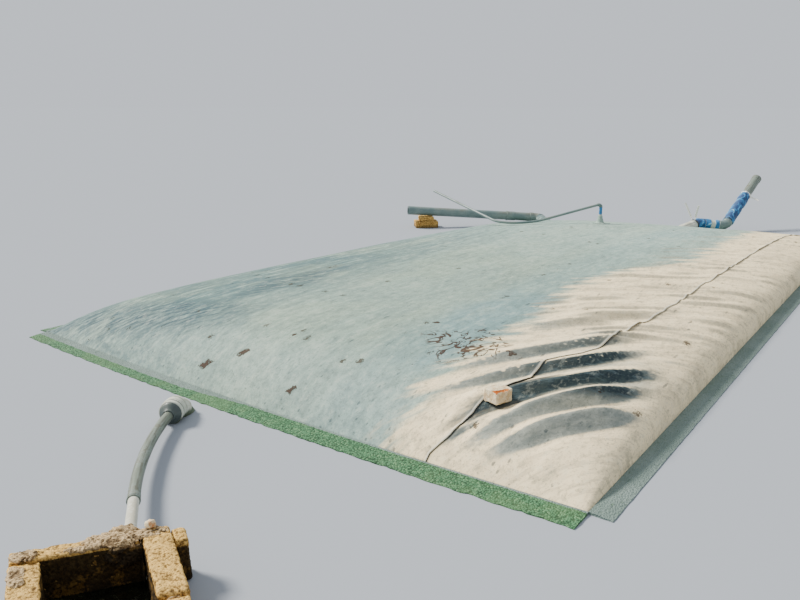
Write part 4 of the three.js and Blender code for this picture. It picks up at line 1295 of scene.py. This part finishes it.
def add_feed():
    """The feed pipe over the left bank, with a socket joint, its elbow and its boot."""
    run = bend(FEED_OUTER, FEED_INNER)
    turn = bend(FEED_INNER, FEED_CORNER, FEED_TURNED)
    big_pipe("feed_pipe_run", "feed_pipe", run, "grey_pvc", FEED_SOCKET, wobble=dents(0.3, 0.0008, 2),
             spacing=0.04)
    big_pipe("feed_elbow_fitting", "feed_elbow", turn, "grey_pvc", elbow_cups(0.045))
    boot_piece("feed_boot_sleeve", "feed_boot", FEED_TURNED, FEED_ENTRY, "membrane", 71)


def band(name, node, at, along, finish):
    """A strap round the wrap: a flat ring with a small buckle lump at the top."""
    path = bend(at, towards(at, along, STRAP_WIDTH))
    inner = BIG_PIPE + WRAP - 0.001

    def buckle(points, distance, angle, radius):
        return (radius > inner + 0.002) * 0.0045 * np.exp(-(((angle - 1.3) / 0.16) ** 2))

    outer = inner + STRAP_THICK
    pipe_piece(name, [node], path, finish, outer, inner, FINE_CHAMFERS, 64, 0.003, wobble=buckle)


def strap_end(name, node, band_at, along, lean, length, curl):
    """The loose end of a strap: it stands on the band, square to the pipe, twists and curls over.
    It is a thin rounded rectangle carried along a bend, with flat ends."""
    axis = unit(along - band_at)
    out = unit(lean - axis * (lean @ axis))
    low = towards(band_at, along, STRAP_WIDTH / 2) + out * (BIG_PIPE + WRAP + STRAP_THICK - 0.001)
    path = bend(low, low + out * length * 0.55, low + out * length * 0.97 + np.array(curl), count=24)
    twist = smoothstep(np.linspace(0, 1, len(path)), 0.0, 0.3)[:, None]
    across = axis * (1 - twist) - np.array([-LOOK_ALONG[1], LOOK_ALONG[0], 0.0]) * twist
    slopes = unit(np.gradient(path, axis=0))
    side = unit(across - slopes * (slopes * across).sum(-1, keepdims=True))
    wide, thick = (STRAP_SECTION * (STRAP_END_WIDTH / 2, STRAP_THICK / 2)).T
    rings = path[:, None] + side[:, None] * wide[:, None]
    rings = rings + np.cross(slopes, side)[:, None] * thick[:, None]
    reach = np.linspace(0, path_length(path), len(path))
    lanes = np.stack(np.broadcast_arrays(reach[:, None], np.append(wide, -STRAP_END_WIDTH / 2)), -1)
    skin = Skin()
    skin.capped(rings, lanes)
    skin.piece(name, "pale_strap", stands_for=[node], sharp=40)


def add_inlet():
    """Boot, wrapped elbow, low pipe, second elbow and the wrapped riser with its straps."""
    bend_start = towards(INLET_CORNER, INLET_ENTRY, FIRST_BEND)
    bend_end = towards(INLET_CORNER, INLET_BEND, FIRST_BEND)
    boot_piece("inlet_boot_sleeve", "inlet_boot", bend_start, INLET_ENTRY, "pale_pvc", 81)
    first = bend(bend_start, INLET_CORNER, bend_end)
    big_pipe("inlet_elbow_body", "inlet_first_elbow", first, "grey_pvc", CHAMFERS)
    wrapped(first, WRAP + 0.003, 0.0005, 91, "inlet_elbow_cloth", ["inlet_elbow_wrap"])
    low_end = towards(INLET_BEND, INLET_CORNER, SECOND_BEND)
    low = bend(bend_end, low_end, count=24)
    big_pipe("inlet_low_tube", "inlet_low_pipe", low, "pale_pvc", LOW_PIPE_BEAD,
             wobble=dents(0.08, 0.0008, 3))
    wrapped(low[1:10], WRAP, 0.0045, 97, "low_cloth_near", [])
    wrapped(low[16:-1], WRAP, 0.0045, 99, "low_cloth_far", [])
    riser_start = towards(INLET_BEND, INLET_TOP, SECOND_BEND)
    second = bend(low_end, INLET_BEND, riser_start)
    big_pipe("inlet_elbow_fitting", "inlet_second_elbow", second, "grey_pvc", elbow_cups(0.035))
    riser = bend(riser_start, INLET_TOP)
    big_pipe("inlet_riser_tube", "inlet_riser_pipe", riser, "grey_pvc", RISER_COLLAR,
             wobble=dents(0.1, 0.0008, 4), spacing=0.03, soil=0.7)
    wrap_end = towards(INLET_TOP, INLET_BEND, BARE_TOP)
    cloth = bend(riser_start, wrap_end)
    wrapped(cloth, WRAP + 0.002, 0.0005, 95, "inlet_riser_cloth", ["inlet_riser_wrap"])
    boot_at = towards(bend_start, INLET_ENTRY, 0.004)
    top_at = towards(wrap_end, INLET_BEND, STRAP_WIDTH + 0.006)
    foot_at = towards(riser_start, INLET_TOP, 0.006)
    band("boot_strap_band", "boot_strap", boot_at, INLET_ENTRY, "dark_strap")
    band("riser_foot_band", "riser_foot_strap", foot_at, INLET_TOP, "dark_strap")
    band("riser_top_band", "riser_top_strap", top_at, wrap_end, "pale_strap")
    for side, at, along, lean, length, curl in (
        ("left", boot_at, INLET_ENTRY, (-0.45, 0, 1), 0.230, (-0.01, 0, 0.004)),
        ("right", boot_at, INLET_ENTRY, (0.18, 0, 1), 0.200, (0.012, 0, -0.004)),
        ("riser", top_at, wrap_end, (1, 0.3, -0.1), 0.110, (0, 0, -0.006)),
    ):
        strap_end("strap_tail_" + side, "strap_end_" + side, at, along, lean, length, curl)


# The outlet
OUTLET_START = local(1.885, -0.2448, -0.090)
OUTLET_CORNER = local(1.915, -0.3548, 0.055)
OUTLET_AIM = local(2.097, -0.605, 0.062)
OUTLET_BOW = local(2.231, -0.794, 0.070)
OUTLET_KINK = local(2.610, -1.078, 0.089)
OUTLET_LEG_END = towards(OUTLET_CORNER, OUTLET_START, 0.045)
OUTLET_ELBOW_END = towards(OUTLET_CORNER, OUTLET_AIM, 0.060)
OUTLET_CUPS = [
    (0, 0.004), (0.003, 0.007), (0.010, 0.007), (0.013, 0.004), (0.036, 0.004), (0.040, 0.002),
    (-0.052, 0.002), (-0.048, 0.007), (-0.032, 0.007), (-0.030, -0.002), (-0.024, -0.002),
    (-0.022, 0.006), (-0.003, 0.006), (END, 0.003),
]
COLLAR_GROOVE = [
    (0, 0.005), (0.002, 0.006), (0.012, 0.006), (0.014, 0.001), (0.019, 0.001), (0.021, 0.006),
    (0.042, 0.006), (0.044, 0.003),
]
RUBBER_RING = [(0.0143, 0.0045), (0.0187, 0.0045)]
# The cone and its bore as one closed loop of distances and radii
REDUCER_CONE = [
    (0.0442, BIG_BORE), (0.0442, BIG_PIPE + 0.001), (0.050, BIG_PIPE - 0.001), (0.068, 0.035),
    (0.072, 0.032), (0.084, 0.031), (0.086, 0.0295), (0.086, 0.0254), (0.0695, 0.0254),
    (0.0690, OUTLET_BORE), (0.064, OUTLET_BORE), (0.050, BIG_BORE),
]
COUPLING_SLEEVE = [
    (0, -0.0015), (0.002, -0.0005), (-0.014, -0.0005), (-0.012, -0.0030), (-0.009, -0.0030),
    (-0.007, 0.0005), (-0.001, 0.0005), (END, -0.001),
]


def in_box(points):
    """Points given along, out and up of the outlet box, in the part's frame. out is square to the
    side walls, which stand a little askew, and negative inside the pit."""
    along, out, up = np.moveaxis(np.asarray(points, float), -1, 0)
    x = BOX_CORNER[0] + along * math.cos(BOX_TURN) - out * math.sin(BOX_TURN + BOX_SKEW)
    y = BOX_CORNER[1] + along * math.sin(BOX_TURN) + out * math.cos(BOX_TURN + BOX_SKEW)
    return np.stack([x, y, up], -1) + ORIGIN


def above_water(made):
    """Cuts off what lies below the water line and closes the cut."""
    shaped = bmesh.new()
    shaped.from_mesh(made.data)
    everything = [*shaped.verts, *shaped.edges, *shaped.faces]
    cut = bmesh.ops.bisect_plane(
        shaped, geom=everything, plane_co=(0, 0, 0.0003), plane_no=(0, 0, 1), clear_inner=True
    )
    edges = [item for item in cut["geom_cut"] if isinstance(item, bmesh.types.BMEdge)]
    bmesh.ops.contextual_create(shaped, geom=edges)
    bmesh.ops.recalc_face_normals(shaped, faces=shaped.faces)
    shaped.to_mesh(made.data)
    shaped.free()
    made.data.shade_smooth()
    made.data.set_sharp_from_angle(angle=math.radians(32))


def add_outlet():
    """The leg out of the water, the elbow with its rubber rings, the reducer and the small pipe."""
    end = towards(OUTLET_ELBOW_END, OUTLET_AIM, 0.070)
    leg = bend(OUTLET_START, OUTLET_LEG_END)
    turn = bend(OUTLET_LEG_END, OUTLET_CORNER, OUTLET_ELBOW_END)
    run = bend(OUTLET_ELBOW_END, end)
    above_water(big_pipe("outlet_leg_tube", "outlet_leg", leg, "pale_pvc", CHAMFERS))
    above_water(big_pipe(
        "outlet_elbow_fitting", "outlet_elbow", turn, "pale_pvc", OUTLET_CUPS, sides=64, spacing=0.006
    ))
    for name, nodes, finish, radius, bore, rises in (
        ("outlet_reducer_collar", [], "pale_pvc", BIG_PIPE, BIG_BORE, COLLAR_GROOVE),
        ("outlet_rubber_ring", [], "dark_strap", BIG_PIPE, BIG_BORE + 0.001, RUBBER_RING),
        ("outlet_reducer_fitting", ["outlet_reducer"], "dark_pvc", 0.0, None, REDUCER_CONE),
    ):
        above_water(pipe_piece(name, nodes, run, finish, radius, bore, rises, spacing=0.006))
    coupling_start = towards(OUTLET_KINK, OUTLET_BOW, COUPLING_BEFORE)
    tail_end = in_box((TAIL_ALONG, -BACK_WALL, TAIL_HEIGHT))
    coupling_end = towards(OUTLET_KINK, tail_end, COUPLING_AFTER)
    small = bend(end, OUTLET_BOW, coupling_start, count=60)
    pipe_piece("outlet_small_pipe", ["outlet_pipe"], small, "grey_pvc", OUTLET_PIPE, OUTLET_BORE, CHAMFERS,
               44, wobble=dents(0.07, 0.0007, 6), soil=1.0)
    kink = bend(coupling_start, OUTLET_KINK, coupling_end)
    pipe_piece("outlet_coupling_sleeve", ["outlet_coupling"], kink, "grey_pvc", COUPLING, TAIL_BORE,
               COUPLING_SLEEVE, 44, 0.006, soil=0.6)
    tail = bend(coupling_end, tail_end)
    pipe_piece("outlet_tail_tube", ["outlet_tail_pipe"], tail, "pale_pvc", TAIL_PIPE, TAIL_BORE,
               [(0, -0.001), (0.001, 0), (END, 0)], 44, 0.008, wobble=dents(0.05, 0.0009, 7))


# Masonry
def rectangle_ring(width, height, corner, count):
    """Points evenly spaced round a rectangle with rounded corners, centred on the origin."""
    w, h = width / 2 - corner, height / 2 - corner
    turn = np.linspace(0, np.pi / 2, 5)
    quarter = np.stack([np.cos(turn), np.sin(turn)], -1) * corner
    outline = []
    for at, angle in zip(((w, h), (-w, h), (-w, -h), (w, -h)), np.arange(4) * math.pi / 2):
        spin = np.array([[math.cos(angle), -math.sin(angle)], [math.sin(angle), math.cos(angle)]])
        outline.append(np.array(at) + quarter @ spin.T)
    outline = np.concatenate(outline)
    outline = np.concatenate([outline, outline[:1]])
    reached = np.concatenate([[0], np.cumsum(np.linalg.norm(np.diff(outline, axis=0), axis=1))])
    even = np.arange(count) * reached[-1] / count
    return np.stack([np.interp(even, reached, outline[:, k]) for k in range(2)], -1)


def add_block(
    skin, low, high, to_part, seed, cell=0.006, worn=0.007, rough=0.0024, chips=0.006, broken=None, order=None
):
    """A rough block: rounded rectangles carried along its long side, shrinking to a cap at both
    ends. Noise of 8 and 30 mm moves the skin in and out, and chips eat the edges."""
    low, high = np.array(low, float), np.array(high, float)
    size = high - low
    middle = (low + high) / 2
    count = max(24, int(2 * (size[1] + size[2]) / cell))
    ring = rectangle_ring(size[1] - 2 * rough, size[2] - 2 * rough, worn, count)
    steps = max(6, int(size[0] / cell))
    x = np.linspace(-size[0] / 2 + rough, size[0] / 2 - rough, steps)
    shrink = np.clip((size[0] / 2 - rough - np.abs(x)) / worn, 0, 1)
    half = min(size[1], size[2]) / 2
    inset = worn * (1 - np.sqrt(1 - (1 - shrink) ** 2)) / half
    rings = (1 - inset)[:, None, None] * ring[None]
    across = np.linspace(1, 0.03, max(5, int(half / cell)))[1:] * (1 - inset[0])
    caps = across[:, None, None] * ring[None]
    along = np.concatenate([np.full(len(across), x[0]), x, np.full(len(across), x[-1])])
    section = np.concatenate([caps[::-1], rings, caps])
    points = np.concatenate([np.broadcast_to(along[:, None, None], (*section.shape[:2], 1)), section], -1)
    share = points / (size / 2)
    out = share ** 9
    out /= np.maximum(np.linalg.norm(out, axis=-1, keepdims=True), 1e-9)
    edge = np.sort(np.abs(share), axis=-1)[..., 1]
    bite = chips * smoothstep(lattice_noise(points, 0.030, seed + 3), 0.15, 0.9) * smoothstep(edge, 0.75, 1.0)
    bumps = rough * (0.6 * lattice_noise(points, 0.008, seed) + 0.9 * lattice_noise(points, 0.030, seed + 1))
    pits = -0.6 * rough * smoothstep(lattice_noise(points, 0.011, seed + 2), 0.35, 0.8)
    depth = bumps + pits - bite
    points = points + out * depth[..., None] + middle
    extra = {} if broken is None else {"broken": broken(share)}
    if order is not None:
        extra["inside"] = inside_pit(points[..., order])
    skin.capped(to_part(points), relief=depth, **extra)


def inside_pit(points):
    """1 on the faces that are painted dark as shade and slurry, which are those towards the chamber
    and the corner block's sides, and 0 elsewhere, from points in the box's frame."""
    along, out, up = np.moveaxis(points, -1, 0)
    below_rim = BOX_HEIGHT - up
    between = (along > BOX_WALL - SHADE_SLURRY_EDGE) & (along < BOX_INNER + SHADE_SLURRY_EDGE)
    within = between & (out < -BACK_WALL + SHADE_SLURRY_EDGE) & (out > -BOX_INNER - SHADE_SLURRY_EDGE)
    within = within * smoothstep(below_rim, 0.010, 0.028)
    beside = (along > BOX_SIZE + 0.006) * (out < -0.050) * smoothstep(below_rim, 0.026, 0.050)
    return np.maximum(within, 0.75 * beside)


def lump(skin, centre, size, seed, rows=26, columns=40, rough=0.010, broken=0.0):
    """A lump of mortar: an ellipsoid with noise of 40, 14 and 6 mm on it."""
    polar = np.linspace(0.02, np.pi - 0.02, rows)[:, None]
    angle = (np.arange(columns) * 2 * np.pi / columns)[None]
    flat = np.sin(polar)
    ball = np.stack([flat * np.cos(angle), flat * np.sin(angle), np.cos(polar) + 0 * angle], -1)
    base = ball * np.array(size)
    depth = rough * (
        0.8 * lattice_noise(base, 0.040, seed) + 0.6 * lattice_noise(base, 0.014, seed + 1)
        + 0.5 * lattice_noise(base, 0.006, seed + 2)
    )
    points = base + ball * depth[..., None] + np.array(centre)
    points[..., 2] = np.maximum(points[..., 2], 0.0)
    values = {"relief": depth, "inside": inside_pit(points), "broken": broken + 0 * depth}
    skin.capped(in_box(points), **values)


# Blocks of the outlet box: piece, node, seed, and the low and high corner of each block
BOX_BLOCKS = [
    ("back_wall_blocks", "box_back_wall", 101, [
        ((0, -BACK_WALL, 0), (BOX_INNER - 0.002, 0, BOX_HEIGHT - 0.003)),
    ]),
    ("right_wall_blocks", "box_right_wall", 111, [
        ((BOX_INNER, -RIGHT_JOINT_AT, 0), (BOX_SIZE, 0, BOX_HEIGHT)),
        ((BOX_INNER, -BOX_SIZE, 0), (BOX_SIZE, -RIGHT_JOINT_AT - BOX_JOINT, BOX_HEIGHT - 0.006)),
    ]),
    ("left_wall_blocks", "box_left_wall", 121, [
        ((0, -BOX_SIZE, 0), (BOX_WALL, -BACK_WALL - 0.001, BOX_HEIGHT - 0.004)),
    ]),
    ("front_wall_blocks", "box_front_wall", 131, [
        ((BOX_WALL + BOX_JOINT, -BOX_SIZE, 0), (BOX_INNER - BOX_JOINT, -BOX_INNER, BOX_HEIGHT)),
    ]),
    ("corner_stub_block", "box_corner_block", 141, [
        ((BOX_SIZE - 0.006, -0.100, 0), (BOX_SIZE + 0.048, -0.004, BOX_HEIGHT - 0.014)),
    ]),
]
# Mortar on the walls: centre along, out and up from the rim, half sizes, and a seed
MORTAR_PADS = [
    ((0.330, -0.040, -0.006), (0.082, 0.046, 0.015), 161),
    ((0.262, -0.030, -0.008), (0.040, 0.034, 0.012), 163),
    ((0.200, -0.056, -0.009), (0.050, 0.014, 0.010), 165),
    ((0.342, -0.074, -0.040), (0.056, 0.012, 0.045), 167),
    ((0.050, -0.040, -0.007), (0.040, 0.036, 0.010), 169),
    ((0.030, -0.150, -0.008), (0.026, 0.060, 0.009), 171),
    ((0.440, -0.030, -0.007), (0.050, 0.034, 0.010), 173),
]
# Lumps on the box: piece, finish, nodes, rows, columns, roughness, how broken, and for each lump
# its centre, half sizes and seed
BOX_LUMPS = [
    ("mortar_collar", "mortar", ["box_mortar_collar"], 26, 40, 0.010, 0.0, [
        ((TAIL_ALONG - 0.006, 0.004, TAIL_HEIGHT), (0.085, 0.040, 0.075), 151),
    ]),
    ("mortar_smears", "mortar", [], 56, 130, 0.009, 0.0, [
        ((along, out, BOX_HEIGHT + up), size, seed) for (along, out, up), size, seed in MORTAR_PADS
    ]),
    ("mortar_joints", "mortar", [], 26, 40, 0.004, 0.0, [
        ((BOX_INNER + 0.050, -0.398, 0.080), (0.044, 0.0075, 0.088), 171),
        ((BOX_INNER - 0.003, -0.050, 0.080), (0.0075, 0.044, 0.088), 171),
    ]),
    ("rim_stone", "brick", ["box_rubble_stone"], 18, 24, 0.005, 0.40, [
        ((BOX_INNER + 0.035, -0.010, BOX_HEIGHT + 0.012), (0.017, 0.015, 0.014), 181),
    ]),
]


def add_box_walls():
    """Blocks on edge round the chamber. Each one is carried along its longer side."""
    for name, node, seed, blocks in BOX_BLOCKS:
        skin = Skin()
        for number, (low, high) in enumerate(blocks):
            order = [1, 0, 2] if high[1] - low[1] > high[0] - low[0] else [0, 1, 2]

            def to_part(points, order=order):
                return in_box(points[..., order])

            add_block(
                skin, np.array(low)[order], np.array(high)[order], to_part, seed + 4 * number,
                cell=0.005, worn=0.010, rough=0.0036, chips=0.011, order=order,
            )
        skin.piece(name, "block", stands_for=[node])


def add_box_water():
    """The slurry in the chamber, whose edges lie 10 mm inside the walls."""
    s = np.linspace(0, 1, 24)
    along = BOX_WALL - WATER_LAP + s[:, None] * (BOX_INNER - BOX_WALL + 2 * WATER_LAP)
    out = -BACK_WALL + WATER_LAP - s[None] * (BOX_INNER - BACK_WALL + 2 * WATER_LAP)
    flat = np.stack(np.broadcast_arrays(along, out, BOX_WATER), -1)
    skin = Skin()
    first = skin.grid(in_box(flat))
    second = skin.grid(in_box(flat - (0, 0, BOX_WATER - 0.002)))
    skin.rims(first, second)
    skin.piece("box_water", "box_water", sharp=40)


def add_outlet_box():
    """Blocks bedded in mortar, with the tail pipe bedded in the back wall. along runs beside the
    back wall, and out is negative inside the pit."""
    add_box_walls()
    for name, finish, nodes, rows, columns, rough, broken, lumps in BOX_LUMPS:
        skin = Skin()
        for centre, size, seed in lumps:
            lump(skin, centre, size, seed, rows, columns, rough, broken)
        skin.piece(name, finish, stands_for=nodes)
    add_box_water()


def add_pier():
    """Two rough blocks under the feed pipe, turned with it."""
    foot = towards(FEED_OUTER, FEED_INNER, PIER_AT)
    turn = math.atan2(FEED_INNER[1] - FEED_OUTER[1], FEED_INNER[0] - FEED_OUTER[0])
    base_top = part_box("feed_pier_base_block")[1].z
    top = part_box("feed_pier_top_block")[1].z

    def to_part(points):
        x, y, z = np.moveaxis(points, -1, 0)
        across = foot[0] + x * math.cos(turn) - y * math.sin(turn)
        along = foot[1] + x * math.sin(turn) + y * math.cos(turn)
        return np.stack([across, along, z], -1)

    for name, low, high, seed in (
        ("base_block", (-0.150, -0.100, 0), (0.150, 0.100, base_top), 201),
        ("top_block", (-0.095, -0.100, base_top), (0.095, 0.100, top), 211),
    ):
        skin = Skin()
        add_block(skin, low, high, to_part, seed)
        skin.piece("pier_" + name, "block", stands_for=["feed_pier_" + name])


def broken_faces(share):
    """1 where the half brick's clay is bare, below 0 on the face that is painted darker as shade, and 0
    elsewhere.
    """
    x, y, z = np.moveaxis(share, -1, 0)
    top = smoothstep(z + 0.45 * x - 0.1 * y, 1.00, 1.34) * (1 - smoothstep(y, 0.45, 0.85))
    foot = 0.5 * smoothstep(-y, 0.90, 1.0) * smoothstep(-x, 0.2, 0.6) * smoothstep(-z, 0.0, 0.4)
    # The face away from the light, painted darker as shade
    shaded_face = smoothstep(x, 0.93, 0.995) * (1 - smoothstep(z, 0.85, 0.97))
    return np.maximum(top, foot) * (1 - shaded_face) - 0.8 * shaded_face


def add_brick():
    """The half brick on the lap seam: a worn block whose top and one end are broken."""
    middle = np.mean(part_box("cover_brick"), axis=0)
    u, v = middle[:2] - ORIGIN[:2]
    middle = middle + (0, 0, BRICK_DROP)
    slope_u, slope_v = [
        BRICK_LEAN * (cover_top(u + du, v + dv) - cover_top(u - du, v - dv)) / 0.2
        for du, dv in ((0.1, 0), (0, 0.1))
    ]
    up = unit(np.array([-slope_u, -slope_v, 1.0]))
    x_axis = np.array([math.cos(BRICK_TURN), math.sin(BRICK_TURN), 0.0])
    x_axis = unit(x_axis - up * (x_axis @ up))
    axes = np.stack([x_axis, np.cross(up, x_axis), up])

    def to_part(points):
        share = np.maximum(broken_faces(points / (BRICK_SIZE / 2)), 0)
        ragged = points.copy()
        ragged[..., 2] -= share * (0.004 + 0.016 * np.abs(lattice_noise(points, 0.018, 77)))
        return ragged @ axes + middle

    skin = Skin()
    add_block(
        skin, -BRICK_SIZE / 2, BRICK_SIZE / 2, to_part, 221,
        cell=0.0022, worn=0.005, rough=0.0016, chips=0.006, broken=broken_faces,
    )
    skin.piece("seam_brick", "brick", stands_for=["cover_brick"])


# Stage
def add_stage():
    """A plain pale floor that melts into the sky, a hazy low sun from the left and behind."""
    finish = Finish("floor")
    finish.shade(FLOOR_COLOUR, 1.0, Specular_IOR_Level=0.0)
    mesh = bpy.data.meshes.new("floor")
    corners = [(x * FLOOR_REACH, y * FLOOR_REACH, 0) for x, y in ((-1, -1), (1, -1), (1, 1), (-1, 1))]
    mesh.from_pydata(corners, [], [(0, 1, 2, 3)])
    mesh.materials.append(finish.material)
    floor = place("floor", mesh)
    data = bpy.data.lights.new("sun", "SUN")
    data.angle = math.radians(SUN_SPREAD)
    data.energy = SUN_POWER
    data.color = SUN_COLOUR
    place("sun", data).matrix_world = backed_to(unit(np.array(SUN_FROM)))
    world = bpy.data.worlds.new("sky")
    world.use_nodes = True
    sky = world.node_tree.nodes["Background"].inputs
    sky["Color"].default_value = SKY_COLOUR
    sky["Strength"].default_value = SKY_POWER
    bpy.context.scene.world = world


add_camera()
make_finishes()
add_cover()
add_hems()
add_gas_line()
add_feed()
add_pier()
add_inlet()
add_outlet()
add_outlet_box()
add_brick()
add_stage()
